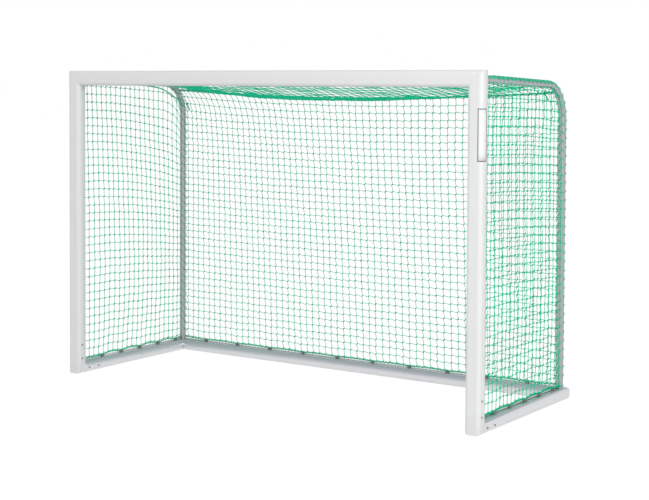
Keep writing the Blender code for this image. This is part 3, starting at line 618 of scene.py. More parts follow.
def knot_shape():
    """A bead of two twisted turns of twine, drawn out along the strands that cross in it.

    Each ring has its height, radius and turn.
    """
    sides, tip, lobing = 7, 0.60, 0.22
    rings = ((-0.42, 0.28, 0.0), (0.0, 0.42, 0.7), (0.42, 0.28, 1.4))
    points, faces = [(0.0, 0.0, -tip)], []
    for height, radius, turn in rings:
        for angle in ring_angles(sides):
            lobe = radius * (1.0 + lobing * math.cos(2.0 * angle + turn * 2.0))
            points.append((lobe * math.cos(angle), lobe * math.sin(angle), height))
    top = len(points)
    points.append((0.0, 0.0, tip))
    for near, far in ring_steps(sides):
        faces.append((0, 1 + far, 1 + near))
        for low in range(1, top - sides, sides):
            high = low + sides
            faces.append((low + near, low + far, high + far, high + near))
        faces.append((top - sides + near, top - sides + far, top))
    return mesh_object("knot_shape", points, [], faces)


# Node trees

def feed(tree, socket, value):
    """Links a socket to what another node gives, or writes a plain value into it."""
    if isinstance(value, bpy.types.NodeSocket):
        tree.links.new(value, socket)
    else:
        socket.default_value = value


def add_node(tree, kind, inputs=None, **settings):
    """Adds a node, feeds its inputs and returns its outputs."""
    node = tree.nodes.new(kind)
    for name, value in settings.items():
        setattr(node, name, value)
    for key, value in (inputs or {}).items():
        feed(tree, node.inputs[key], value)
    return node.outputs


def add_math(tree, operation, *values, clamp=False):
    inputs = dict(enumerate(values))
    return add_node(tree, "ShaderNodeMath", inputs, operation=operation, use_clamp=clamp)[0]


def add_vector_math(tree, operation, *values, output=0, **named):
    inputs = {**dict(enumerate(values)), **named}
    return add_node(tree, "ShaderNodeVectorMath", inputs, operation=operation)[output]


def add_noise(tree, vector, scale, detail):
    inputs = {"Vector": vector, "Scale": scale, "Detail": detail}
    return add_node(tree, "ShaderNodeTexNoise", inputs)[0]


def mix_colours(tree, factor, first, second):
    inputs = {"Factor": factor, 6: first, 7: second}
    return add_node(tree, "ShaderNodeMix", inputs, data_type="RGBA")[2]


def mix_shaders(tree, factor, first, second):
    return add_node(tree, "ShaderNodeMixShader", {0: factor, 1: first, 2: second})[0]


def split(tree, vector):
    return add_node(tree, "ShaderNodeSeparateXYZ", {0: vector})


def new_tree(name, kind, inputs, outputs):
    """A node group. A socket is given as its kind or, for a number, as its default."""
    tree = bpy.data.node_groups.new(name, kind)
    for way, sockets in (("INPUT", inputs), ("OUTPUT", outputs)):
        for label, given in sockets.items():
            word = given if isinstance(given, str) else type(given).__name__.title()
            socket = tree.interface.new_socket(label, in_out=way, socket_type=f"NodeSocket{word}")
            if word != given:
                socket.default_value = given
    return tree, add_node(tree, "NodeGroupInput")


def close_tree(tree, *values):
    """Gives a group its outputs in their order."""
    add_node(tree, "NodeGroupOutput", dict(enumerate(values)))
    return tree


def store(tree, geometry, name, kind, value):
    return add_node(tree, "GeometryNodeStoreNamedAttribute",
                    {"Geometry": geometry, "Name": name, "Value": value},
                    data_type=kind, domain="POINT")[0]


def read_value(tree, name, kind="FLOAT"):
    return add_node(tree, "GeometryNodeInputNamedAttribute", {"Name": name}, data_type=kind)[0]


def sweep(tree, line, sides, diameter, strands=None):
    """A round tube along a line, pressed in between the strands when their number is given."""
    run = add_node(tree, "GeometryNodeSplineParameter")["Length"]
    line = store(tree, line, "run", "FLOAT", run)
    radius = add_math(tree, "DIVIDE", diameter, 2.0)
    circle = add_node(tree, "GeometryNodeCurvePrimitiveCircle",
                      {"Resolution": sides, "Radius": radius}, mode="RADIUS")[0]
    place = add_node(tree, "GeometryNodeInputPosition")[0]
    circle = store(tree, circle, "round", "FLOAT_VECTOR", add_vector_math(tree, "NORMALIZE", place))
    if strands is not None:
        part = add_node(tree, "GeometryNodeSplineParameter")["Factor"]
        angle = add_math(tree, "MULTIPLY", add_math(tree, "MULTIPLY", part, strands), math.pi)
        lobe = add_math(tree, "ABSOLUTE", add_math(tree, "COSINE", angle))
        size = add_math(tree, "MULTIPLY_ADD", lobe, 1.0 - STRAND_VALLEY, STRAND_VALLEY)
        pressed = add_vector_math(tree, "SCALE", place, Scale=size)
        circle = add_node(tree, "GeometryNodeSetPosition",
                          {"Geometry": circle, "Position": pressed})[0]
    return add_node(tree, "GeometryNodeCurveToMesh",
                    {"Curve": line, "Profile Curve": circle, "Fill Caps": True})[0]


def close_shape(tree, body, material):
    """Ends a geometry tree: smooth, real geometry with its material."""
    body = add_node(tree, "GeometryNodeSetShadeSmooth", {"Geometry": body})[0]
    body = add_node(tree, "GeometryNodeRealizeInstances", {"Geometry": body})[0]
    inputs = {"Geometry": body, "Material": material}
    return close_tree(tree, add_node(tree, "GeometryNodeSetMaterial", inputs)[0])


def rope_tree():
    """Turns a guide into a rope of twisted strands."""
    tree, given = new_tree("Laid rope", "GeometryNodeTree", {
        "Guide": "Geometry", "Rope Diameter": 0.006, "Lay Length": 0.021, "Strands": 3,
        "Material": "Material"}, {"Rope": "Geometry"})
    lay = given["Lay Length"]
    line = add_node(tree, "GeometryNodeMeshToCurve", {"Mesh": given["Guide"]})[0]
    line = add_node(tree, "GeometryNodeCurveSplineType", {"Curve": line},
                    spline_type="CATMULL_ROM")[0]
    step = add_math(tree, "DIVIDE", lay, STEPS_PER_LAY)
    line = add_node(tree, "GeometryNodeResampleCurve", {"Curve": line, "Length": step},
                    mode="LENGTH")[0]
    run = add_node(tree, "GeometryNodeSplineParameter")["Length"]
    tilt = add_math(tree, "MULTIPLY", add_math(tree, "DIVIDE", run, lay), 2.0 * math.pi)
    line = add_node(tree, "GeometryNodeSetCurveTilt", {"Curve": line, "Tilt": tilt})[0]
    sides = add_math(tree, "MULTIPLY", given["Strands"], 4.0)
    body = sweep(tree, line, sides, given["Rope Diameter"], given["Strands"])
    return close_shape(tree, body, given["Material"])


def net_tree():
    """Turns a net guide into twine with a knot on every crossing."""
    tree, given = new_tree("Knotted net", "GeometryNodeTree", {
        "Guide": "Geometry", "Twine Diameter": 0.003, "Twine Sides": 5, "Knot Shape": "Object",
        "Knot Size": 0.009, "Unevenness": 0.006, "Waves per Metre": 9.0, "Seed": 4,
        "Material": "Material"}, {"Net": "Geometry"})
    waves = {"Scale": given["Waves per Metre"], "Detail": 2.0, "W": given["Seed"]}
    noise = add_node(tree, "ShaderNodeTexNoise", waves, noise_dimensions="4D")["Color"]
    ease = add_math(tree, "MULTIPLY", given["Unevenness"], read_value(tree, "loose"))
    centred = add_vector_math(tree, "SUBTRACT", noise, (0.5, 0.5, 0.5))
    shift = add_vector_math(tree, "SCALE", centred, Scale=ease)
    guide = add_node(tree, "GeometryNodeSetPosition",
                     {"Geometry": given["Guide"], "Offset": shift})[0]
    line = add_node(tree, "GeometryNodeMeshToCurve", {"Mesh": guide})[0]
    twine = sweep(tree, line, given["Twine Sides"], given["Twine Diameter"])

    bead = add_node(tree, "GeometryNodeObjectInfo",
                    {"Object": given["Knot Shape"], "As Instance": False})["Geometry"]
    # Marks the knots, which the twine material darkens as painted shade.
    bead = store(tree, bead, "knotted", "FLOAT", 1.0)
    limits = {"Min": [-KNOT_TURN] * 3, "Max": [KNOT_TURN] * 3, "Seed": given["Seed"]}
    wobble = add_node(tree, "FunctionNodeRandomValue", limits, data_type="FLOAT_VECTOR")[0]
    axes = {"Primary Axis": read_value(tree, "diagonal", "FLOAT_VECTOR"),
            "Secondary Axis": read_value(tree, "facing", "FLOAT_VECTOR")}
    turn = add_node(tree, "FunctionNodeAxesToRotation", axes,
                    primary_axis="Z", secondary_axis="Y")[0]
    turn = add_node(tree, "FunctionNodeRotateRotation", {"Rotation": turn, "Rotate By": wobble},
                    rotation_space="LOCAL")[0]
    limits = {"Min": KNOT_GROWTH[0], "Max": KNOT_GROWTH[1], "Seed": given["Seed"]}
    grow = add_node(tree, "FunctionNodeRandomValue", limits, data_type="FLOAT")[1]
    size = add_math(tree, "MULTIPLY", given["Knot Size"], grow)
    knots = add_node(tree, "GeometryNodeInstanceOnPoints", {
        "Points": guide, "Selection": read_value(tree, "knot"), "Instance": bead,
        "Rotation": turn, "Scale": size})[0]
    both = add_node(tree, "GeometryNodeJoinGeometry", {0: knots})[0]
    tree.links.new(twine, both.node.inputs[0])
    return close_shape(tree, both, given["Material"])


def grown_from(guide, tree, values, name):
    """The plain mesh that a tree makes of a guide, as an object of its own."""
    modifier = guide.modifiers.new(tree.name, "NODES")
    modifier.node_group = tree
    for socket in tree.interface.items_tree:
        if socket.in_out == "INPUT" and socket.name in values:
            modifier[socket.identifier] = values[socket.name]
    bpy.context.view_layer.update()
    view = bpy.context.evaluated_depsgraph_get()
    mesh = bpy.data.meshes.new_from_object(guide.evaluated_get(view), depsgraph=view)
    guide.modifiers.remove(modifier)
    if not mesh.polygons:
        raise RuntimeError(f"{name}: the tree {tree.name} made no faces")
    mesh.name = name
    bpy.data.objects.remove(guide, do_unlink=True)
    return add_object(name, mesh)


def dress(item, slot, *nodes):
    """Every new piece rides on the frame, and the CAD nodes given are hidden."""
    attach(item, BODY)
    if nodes:
        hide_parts(*nodes)


# Finishes: four effects as groups, then the materials that use them

SURFACE = {"Colour": "Color", "Roughness": "Float", "Height": "Float"}


def uneven_roughness(tree, field, given):
    centred = add_math(tree, "SUBTRACT", field, 0.5)
    return add_math(tree, "MULTIPLY_ADD", centred, given["Roughness Spread"], given["Roughness"])


def mottling_group(name):
    """Soft blotches over a fine grain."""
    tree, given = new_tree(name, "ShaderNodeTree", {
        "Vector": "Vector", "Colour": "Color", "Shade": "Color", "Blotches per Metre": 14.0,
        "Grains per Metre": 700.0, "Roughness": 0.4, "Roughness Spread": 0.1}, SURFACE)
    blotches = add_noise(tree, given["Vector"], given["Blotches per Metre"], detail=4.0)
    grain = add_noise(tree, given["Vector"], given["Grains per Metre"], detail=2.0)
    mixed = mix_colours(tree, blotches, given["Colour"], given["Shade"])
    return close_tree(tree, mixed, uneven_roughness(tree, blotches, given), grain)


def drawn_group(name):
    """Streaks along a drawn or pressed profile. The vector comes in already stretched."""
    tree, given = new_tree(name, "ShaderNodeTree", {
        "Vector": "Vector", "Colour": "Color", "Shade": "Color", "Roughness": 0.35,
        "Roughness Spread": 0.12}, SURFACE)
    wide = add_noise(tree, given["Vector"], scale=1.0, detail=3.0)
    fine = add_noise(tree, given["Vector"], scale=7.0, detail=2.0)
    streaks = add_math(tree, "MULTIPLY", add_math(tree, "ADD", wide, fine), 0.5)
    mixed = mix_colours(tree, streaks, given["Colour"], given["Shade"])
    return close_tree(tree, mixed, uneven_roughness(tree, wide, given), fine)


def dust_group(name):
    """Dry splashes on whatever is close to the ground."""
    tree, given = new_tree(name, "ShaderNodeTree", {
        "Vector": "Vector", "Colour": "Color", "Dust": "Color", "Reach": 0.10, "Amount": 0.25},
        {"Colour": "Color", "Mask": "Float"})
    height = add_math(tree, "DIVIDE", split(tree, given["Vector"])[2], given["Reach"])
    low = add_math(tree, "SUBTRACT", 1.0, height, clamp=True)
    patches = add_noise(tree, given["Vector"], scale=38.0, detail=5.0)
    dusty = add_math(tree, "MULTIPLY", low, patches)
    mask = add_math(tree, "MULTIPLY", dusty, given["Amount"], clamp=True)
    return close_tree(tree, mix_colours(tree, mask, given["Colour"], given["Dust"]), mask)


def lay_group(name):
    """Yarns that wind round a twine or rope, deeper and with painted shade between them."""
    tree, given = new_tree(name, "ShaderNodeTree", {
        "Run": 0.0, "Round": "Vector", "Lay Length": 0.006, "Vector": "Vector",
        "Colour": "Color", "Shade": "Color"}, {"Colour": "Color", "Height": "Float"})
    turns = add_math(tree, "DIVIDE", given["Run"], given["Lay Length"])
    turn = add_math(tree, "MULTIPLY", turns, 2.0 * math.pi)
    side = split(tree, given["Round"])
    wave = add_math(tree, "ADD",
                    add_math(tree, "MULTIPLY", add_math(tree, "SINE", turn), side[0]),
                    add_math(tree, "MULTIPLY", add_math(tree, "COSINE", turn), side[1]))
    yarn = add_math(tree, "MULTIPLY_ADD", wave, 0.5, 0.5)
    fading = add_noise(tree, given["Vector"], scale=11.0, detail=3.0)
    fading = add_math(tree, "MULTIPLY", fading, 0.5)
    # Painted shade: the grooves between yarns are mixed towards the darker tone, over a fading that
    # differs at random.
    part = add_math(tree, "MULTIPLY_ADD", add_math(tree, "SUBTRACT", 1.0, yarn), 0.5, fading)
    return close_tree(tree, mix_colours(tree, part, given["Colour"], given["Shade"]), yarn)


EFFECTS = {"Fine mottling": mottling_group, "Drawn metal": drawn_group,
           "Ground dust": dust_group, "Twisted yarn": lay_group}


def add_effect(tree, name, inputs):
    """Places an effect in a material, and builds its group when it is not there yet."""
    group = bpy.data.node_groups.get(name) or EFFECTS[name](name)
    return add_node(tree, "ShaderNodeGroup", inputs, node_tree=group)


def stored(tree, name, output="Fac"):
    return add_node(tree, "ShaderNodeAttribute", attribute_name=name)[output]


def new_material(name):
    material = bpy.data.materials.new(name)
    material.use_nodes = True
    return material, material.node_tree


def object_place(tree):
    return add_node(tree, "ShaderNodeTexCoord")["Object"]


def finished(material, inputs, height, strength, distance):
    """Feeds the material's shader, with a bump of this height for its normal."""
    tree = material.node_tree
    bump = {"Height": height, "Strength": strength, "Distance": distance}
    inputs["Normal"] = add_node(tree, "ShaderNodeBump", bump)[0]
    for name, value in inputs.items():
        feed(tree, tree.nodes["Principled BSDF"].inputs[name], value)
    return material


def opaque(colour, factor=1.0):
    return (colour[0] * factor, colour[1] * factor, colour[2] * factor, 1.0)


def powder_coat(colour):
    material, tree = new_material("white_powder_coat")
    here = object_place(tree)
    coat = add_effect(tree, "Fine mottling", {
        "Vector": here, "Colour": opaque(colour), "Shade": opaque(colour, 0.965),
        "Blotches per Metre": 9.0, "Grains per Metre": 420.0, "Roughness": 0.36,
        "Roughness Spread": 0.10})
    dusty = add_effect(tree, "Ground dust", {
        "Vector": here, "Colour": coat["Colour"], "Dust": COAT_DUST, "Reach": 0.12,
        "Amount": 0.30})
    inputs = {"Base Color": dusty["Colour"], "Roughness": coat["Roughness"]}
    return finished(material, inputs, coat["Height"], strength=0.12, distance=0.0006)


def bare_aluminium(name, colour, stretch):
    """Extruded metal whose streaks run along the axis with the smallest stretch."""
    material, tree = new_material(name)
    here = object_place(tree)
    mapped = add_node(tree, "ShaderNodeMapping", {"Vector": here, "Scale": stretch})[0]
    metal = add_effect(tree, "Drawn metal", {
        "Vector": mapped, "Colour": opaque(colour, 1.06), "Shade": opaque(colour, 0.88),
        "Roughness": 0.34, "Roughness Spread": 0.16})
    dusty = add_effect(tree, "Ground dust", {
        "Vector": here, "Colour": metal["Colour"], "Dust": RAIL_DUST, "Reach": 0.06,
        "Amount": 0.35})
    inputs = {"Base Color": dusty["Colour"], "Roughness": metal["Roughness"], "Metallic": 0.85}
    return finished(material, inputs, metal["Height"], strength=0.10, distance=0.0004)


def tube_aluminium(colour):
    """The bent tube, streaked along its length by the values stored on its mesh."""
    material, tree = new_material("bent_tube_aluminium")
    around, along = TUBE_STREAKS
    parts = split(tree, stored(tree, "round", "Vector"))
    vector = add_node(tree, "ShaderNodeCombineXYZ", {
        0: add_math(tree, "MULTIPLY", parts[0], around),
        1: add_math(tree, "MULTIPLY", parts[1], around),
        2: add_math(tree, "MULTIPLY", stored(tree, "run"), along)})[0]
    metal = add_effect(tree, "Drawn metal", {
        "Vector": vector, "Colour": opaque(colour, 1.04), "Shade": opaque(colour, 0.86),
        "Roughness": 0.30, "Roughness Spread": 0.14})
    inputs = {"Base Color": metal["Colour"], "Roughness": metal["Roughness"], "Metallic": 0.9}
    return finished(material, inputs, metal["Height"], strength=0.08, distance=0.0003)


def mottled(name, colour, metallic, roughness, grains, bump):
    material, tree = new_material(name)
    here = object_place(tree)
    cover = add_effect(tree, "Fine mottling", {
        "Vector": here, "Colour": opaque(colour, 1.15), "Shade": opaque(colour, 0.80),
        "Blotches per Metre": 60.0, "Grains per Metre": grains, "Roughness": roughness,
        "Roughness Spread": 0.2})
    inputs = {"Base Color": cover["Colour"], "Roughness": cover["Roughness"],
              "Metallic": metallic}
    return finished(material, inputs, cover["Height"], strength=bump, distance=0.0006)


def green_twine(name, colour, lay_length, painted_knot_shade):
    material, tree = new_material(name)
    here = object_place(tree)
    # The twisted yarn paints shade into the grooves between the yarns of twine and rope.
    yarn = add_effect(tree, "Twisted yarn", {
        "Run": stored(tree, "run"), "Round": stored(tree, "round", "Vector"),
        "Lay Length": lay_length, "Vector": here, "Colour": opaque(colour, 1.08),
        "Shade": opaque(colour, 0.80)})
    # Painted shade on the knots: each knot is the same twine, darkened where its turns crowd
    # together.
    knots = mix_colours(tree, stored(tree, "knotted"), yarn["Colour"], opaque(colour, painted_knot_shade))
    inputs = {"Base Color": knots, "Roughness": 0.70, "Specular IOR Level": 0.25}
    return finished(material, inputs, yarn["Height"], strength=0.5, distance=0.0004)


def blank_label(settings):
    """A blank plate of film: white, with a thin border line a little inside its edge."""
    material, tree = new_material("blank_label_film")
    here = object_place(tree)
    spot = split(tree, add_node(tree, "ShaderNodeUVMap", uv_map="UVMap")[0])
    masks = []
    for socket, size in ((spot[0], settings.label_width), (spot[1], settings.label_height)):
        away = add_math(tree, "ABSOLUTE", add_math(tree, "SUBTRACT", socket, 0.5))
        edge = 0.5 - settings.label_border / size
        masks.append(add_math(tree, "GREATER_THAN", away, edge))
    film = add_effect(tree, "Fine mottling", {
        "Vector": here, "Colour": opaque(LABEL_WHITE), "Shade": opaque(LABEL_WHITE, 0.95),
        "Blotches per Metre": 30.0, "Grains per Metre": 900.0, "Roughness": 0.28,
        "Roughness Spread": 0.1})
    line = add_math(tree, "MAXIMUM", *masks)
    inputs = {"Base Color": mix_colours(tree, line, film["Colour"], opaque(LABEL_LINE)),
              "Roughness": film["Roughness"]}
    return finished(material, inputs, film["Height"], strength=0.05, distance=0.0003)


# Pieces made from a CAD node

def frame_object(node):
    for item in bpy.data.objects:
        if item.type == "MESH" and item.name == node:
            return item
    raise RuntimeError(f"no CAD node {node}")


def smooth_copy(node, materials, choose=None):
    """A welded copy of a node's loose triangles, with smooth rounds and crisp edges."""
    source = frame_object(node)
    body = bmesh.new()
    body.from_mesh(source.data)
    body.transform(source.matrix_world)
    bmesh.ops.remove_doubles(body, verts=body.verts, dist=WELD_DISTANCE)
    bmesh.ops.dissolve_degenerate(body, dist=WELD_DISTANCE, edges=body.edges)
    for face in body.faces:
        face.material_index = choose(face.calc_center_median()) if choose else 0
    mesh = bpy.data.meshes.new(f"{node}_finish")
    body.to_mesh(mesh)
    body.free()
    for material in materials:
        mesh.materials.append(material)
    mesh.shade_smooth()
    mesh.set_sharp_from_angle(angle=PROFILE_SMOOTH)
    return add_object(mesh.name, mesh)


def assign(material, *words):
    """Gives a finish to the CAD nodes whose name holds one of these words."""
    for node in frame["nodes"]:
        if any(word in node for word in words):
            item = frame_object(node)
            if not item.material_slots:
                raise RuntimeError(f"{node} has no material slot")
            for spot in item.material_slots:
                spot.material = material


def bow_piece(side_name, side, material, sides=48):
    """A tube with a wall, its front end cut to stand flat on the post's back."""
    stations = [0.0] + spread(0.02, BEND_START, 6) + spread(BEND_START, BEND_END, 33)[1:]
    stations += spread(BEND_END, BOW_LENGTH - CLEARANCE, 8)[1:]
    points, faces, runs, rounds = [], [], [], []
    for radius in (BOW_RADIUS, BOW_RADIUS - BOW_WALL):
        for distance in stations:
            centre, normal = bow_frame(distance)
            for angle in ring_angles(sides):
                across = AXIS_X * (side * POST_X + radius * math.cos(angle))
                point = centre + across + normal * (radius * math.sin(angle))
                if distance == 0.0:
                    point.y = POST_BACK_Y + CLEARANCE
                points.append(point)
                runs.append(distance)
                rounds.append((math.cos(angle), math.sin(angle), 0.0))
    wall = len(stations) * sides
    for low in range(0, wall - sides, sides):
        for near, far in ring_steps(sides):
            quad = (low + near, low + sides + near, low + sides + far, low + far)
            faces += [quad, tuple(wall + index for index in reversed(quad))]
    for ring in (0, wall - sides):
        for near, far in ring_steps(sides):
            faces.append((ring + near, ring + far, wall + ring + far, wall + ring + near))
    item = mesh_object(f"{side_name}_bow_tube", points, [], faces)
    add_values(item.data, "run", runs)
    add_values(item.data, "round", rounds)
    body = bmesh.new()
    body.from_mesh(item.data)
    bmesh.ops.recalc_face_normals(body, faces=body.faces)
    body.to_mesh(item.data)
    body.free()
    item.data.shade_smooth()
    item.data.set_sharp_from_angle(angle=TUBE_SMOOTH)
    item.data.materials.append(material)
    return item


def label_piece(material, settings):
    """Film on the right post, from its outer side round the front corner."""
    outer, corner = POST_X + PROFILE_WIDTH / 2.0, FRONT_Y + FRONT_RADIUS
    flat = settings.label_width - math.pi / 2.0 * FRONT_RADIUS - settings.label_front
    outline = [(outer + LABEL_LIFT, corner + flat), (outer + LABEL_LIFT, corner + flat / 2.0)]
    for angle in spread(0.0, math.pi / 2.0, 13):
        outline.append((outer - FRONT_RADIUS + (FRONT_RADIUS + LABEL_LIFT) * math.cos(angle),
                        corner - (FRONT_RADIUS + LABEL_LIFT) * math.sin(angle)))
    outline.append((outer - FRONT_RADIUS - settings.label_front, FRONT_Y - LABEL_LIFT))
    lengths = [0.0]
    for near, far in zip(outline, outline[1:]):
        lengths.append(lengths[-1] + math.dist(near, far))
    levels = spread(settings.label_bottom, settings.label_bottom + settings.label_height, 7)
    points = [(across, depth, level) for level in levels for across, depth in outline]
    faces, places = [], []
    for row in range(len(levels) - 1):
        for spot in range(len(outline) - 1):
            corners = ((spot, row), (spot, row + 1), (spot + 1, row + 1), (spot + 1, row))
            faces.append([along + up * len(outline) for along, up in corners])
            for along, up in corners:
                places += [lengths[along] / lengths[-1], up / (len(levels) - 1)]
    item = mesh_object("blank_post_label", points, [], faces)
    item.data.uv_layers.new(name="UVMap").data.foreach_set("uv", places)
    item.data.shade_smooth()
    item.data.materials.append(material)
    solid = item.modifiers.new("Film", "SOLIDIFY")
    solid.thickness = LABEL_FILM
    solid.offset = 1.0
    return item


# Settings

def colour_setting(name, description, *default):
    return FloatVectorProperty(name=name, description=description, default=default,
                               subtype="COLOR", size=3, min=0.0, max=1.0)


def length_setting(name, description, default, low, high):
    return FloatProperty(name=name, description=description, default=default,
                         min=low, max=high, unit="LENGTH")


class GoalFrameSettings(bpy.types.PropertyGroup):
    """Finishes of the metal and plastic pieces, and the blank label"""
    coat_colour: colour_setting("Powder coat", "Colour of posts and crossbar", 0.84, 0.84, 0.845)
    metal_colour: colour_setting("Bare aluminium", "Colour of the ground rails", 0.76, 0.765, 0.79)
    tube_colour: colour_setting("Bow tube", "Colour of the bent net bows", 0.43, 0.45, 0.475)
    plastic_colour: colour_setting("Hooks", "Colour of the net hooks", 0.26, 0.235, 0.215)
    label_width: length_setting(
        "Label width", "Along the surface, round the corner", 0.058, 0.035, 0.09)
    label_front: length_setting(
        "Label on the front", "How far it reaches onto the front", 0.003, 0.0, 0.02)
    label_height: length_setting("Label height", "Height of the blank label", 0.242, 0.05, 0.5)
    label_bottom: length_setting(
        "Label level", "Height of the label's lower edge", 1.262, 0.1, 1.4)
    label_border: length_setting("Label border", "Width of the border line", 0.004, 0.0, 0.01)


class GoalNetSettings(bpy.types.PropertyGroup):
    """Sizes and colour of nets and ropes"""
    mesh_size: length_setting("Mesh size", "Distance from knot to knot", 0.045, 0.03, 0.12)
    twine: length_setting("Twine", "Diameter of the net's twine", 0.0034, 0.001, 0.006)
    knot: length_setting("Knot", "Size of a knot across", 0.01, 0.002, 0.015)
    step: length_setting(
        "Step at a knot", "How far a strand moves aside in a knot, halved", 0.003, 0.0, 0.006)
    unevenness: length_setting("Unevenness", "How far the hanging net wanders", 0.012, 0.0, 0.03)
    lean: FloatProperty(
        name="Lean", description="Slant of the back net as a share of its width",
        default=0.021, min=-0.2, max=0.2)
    seed: IntProperty(
        name="Seed", description="Changes the wandering of the net", default=4, min=0)
    rope: length_setting("Rope", "Diameter of the ropes", 0.006, 0.003, 0.01)
    cord: length_setting(
        "Cord", "Diameter of the spare cord and the tied-off ends", 0.008, 0.004, 0.012)
    lashing: length_setting(
        "Lashing", "Diameter of the twine that ties net to rope", 0.0032, 0.002, 0.006)
    lay_length: length_setting(
        "Rope lay", "Length of one turn of the rope's strands", 0.021, 0.01, 0.05)
    rope_colour: colour_setting("Rope colour", "Colour of ropes and lashings", 0.0, 0.63, 0.335)
    colour: colour_setting("Twine colour", "Colour of the nets", 0.0, 0.72, 0.390)


class GoalStudioSettings(bpy.types.PropertyGroup):
    """Floor and light"""
    floor_colour: colour_setting("Floor", "Colour of floor and backdrop", 1.0, 1.0, 1.0)
    ceiling_colour: colour_setting("Ceiling", "Colour of the backdrop overhead", 0.42, 0.45, 0.50)
    sky_level: FloatProperty(
        name="Sky level", description="Strength of the even studio light",
        default=0.825, min=0.0, max=2.0)
    far_side: FloatProperty(
        name="Far side", description="Light from behind the goal, as a share of the rest",
        default=0.35, min=0.0, max=1.0)
    key_power: FloatProperty(
        name="Key light", description="Power of the large soft light on the right",
        default=195.0, min=0.0, max=2000.0, unit="POWER")


# Operators

class GOAL_OT_stage(bpy.types.Operator):
    """Floor, soft studio light and the camera"""
    bl_idname = "goal.stage"
    bl_label = "Stage"

    def execute(self, context):
        settings = context.scene.goal_studio
        studio_floor(settings.floor_colour)
        studio_world(settings)
        key_light(settings.key_power)
        context.scene.camera = photo_camera()
        context.scene.view_settings.view_transform = "Standard"
        return {"FINISHED"}


class GOAL_OT_front_frame(bpy.types.Operator):
    """Powder coat on the posts and the crossbar, dark plastic on their hooks"""
    bl_idname = "goal.front_frame"
    bl_label = "Posts and crossbar"

    def execute(self, context):
        settings = context.scene.goal_frame
        finishes = (powder_coat(settings.coat_colour),
                    mottled("net_hook_plastic", settings.plastic_colour, metallic=0.0,
                            roughness=0.5, grains=500.0, bump=0.2))

        def finish_at(centre):
            """The hooks are what stands out behind a member's flat back."""
            return 1 if centre.y > POST_BACK_Y + CLEARANCE / 3.0 else 0

        for node in ("crossbar", "left_post", "right_post"):
            dress(smooth_copy(node, finishes, finish_at), "white_powder_coat", node)
        return {"FINISHED"}


class GOAL_OT_ground_frame(bpy.types.Operator):
    """Bare extruded aluminium on the three ground rails"""
    bl_idname = "goal.ground_frame"
    bl_label = "Ground rails"

    def execute(self, context):
        colour = context.scene.goal_frame.metal_colour
        across, along = RAIL_STREAKS
        depth = bare_aluminium("rail_aluminium_along_depth", colour, (across, along, across))
        width = bare_aluminium("rail_aluminium_along_width", colour, (along, across, across))
        for node, metal in (("left_ground_rail", depth), ("right_ground_rail", depth),
                            ("rear_ground_rail", width)):
            dress(smooth_copy(node, (metal,)), "brushed_aluminium", node)
        return {"FINISHED"}


class GOAL_OT_bows(bpy.types.Operator):
    """Round bent tubes that carry the net"""
    bl_idname = "goal.bows"
    bl_label = "Net bows"

    def execute(self, context):
        metal = tube_aluminium(context.scene.goal_frame.tube_colour)
        for name, side in SIDES:
            dress(bow_piece(name, side, metal), "brushed_aluminium", f"{name}_net_bow")
        return {"FINISHED"}


class GOAL_OT_hardware(bpy.types.Operator):
    """Screws, hooks, corner elbows and spigots"""
    bl_idname = "goal.hardware"
    bl_label = "Screws, hooks and castings"

    def execute(self, context):
        assign(mottled("zinc_plated_steel", STEEL, metallic=0.9, roughness=0.38,
                       grains=900.0, bump=0.1), "_screw_")
        assign(mottled("cast_aluminium", CAST, metallic=0.8, roughness=0.6,
                       grains=350.0, bump=0.5), "_elbow", "_spigot")
        assign(bpy.data.materials["net_hook_plastic"], "_net_hook_")
        return {"FINISHED"}


class GOAL_OT_ropes(bpy.types.Operator):
    """Laid ropes along the frame, the bows and between roof and back"""
    bl_idname = "goal.ropes"
    bl_label = "Ropes"

    def execute(self, context):
        settings = context.scene.goal_net
        tree = rope_tree()
        rope = {"Rope Diameter": settings.rope, "Lay Length": settings.lay_length, "Strands": 3,
                "Material": green_twine("laid_rope", settings.rope_colour,
                                        lay_length=0.004, painted_knot_shade=1.0)}
        lashing = {**rope, "Rope Diameter": settings.lashing, "Lay Length": LASHING_LAY}
        cord = {**rope, "Rope Diameter": settings.cord}

        def lay(name, points, values, *nodes):
            guide = chain_guide(f"{name}_guide", points)
            dress(grown_from(guide, tree, values, name), "green_twine", *nodes)

        routes = {"ground_rope": ground_rope(), "front_rope": front_rope(),
                  "rear_rope": rear_rope(), "left_seam_rope": seam_rope(-1),
                  "right_seam_rope": seam_rope(1)}
        for node, points in routes.items():
            lay(f"{node}_laid", points, rope, node)
        for name, side in SIDES:
            for order in (1, 2):
                start = LASHING_INSET + LASHING_PITCH / 2.0 * order
                lay(f"{name}_seam_lashing_{order}", seam_lashing(side, start), lashing)
            lay(f"{name}_net_tie", tie_points(TIES[name]), cord)
        radius = ROPE_RADIUS + 0.5 * settings.lashing
        lay("ground_rope_lashing",
            wound_round(routes["ground_rope"], radius, GROUND_LASHING_PITCH), lashing)
        lay("left_corner_cord", [Vector(spot) for spot in SPARE_CORD], cord)
        return {"FINISHED"}


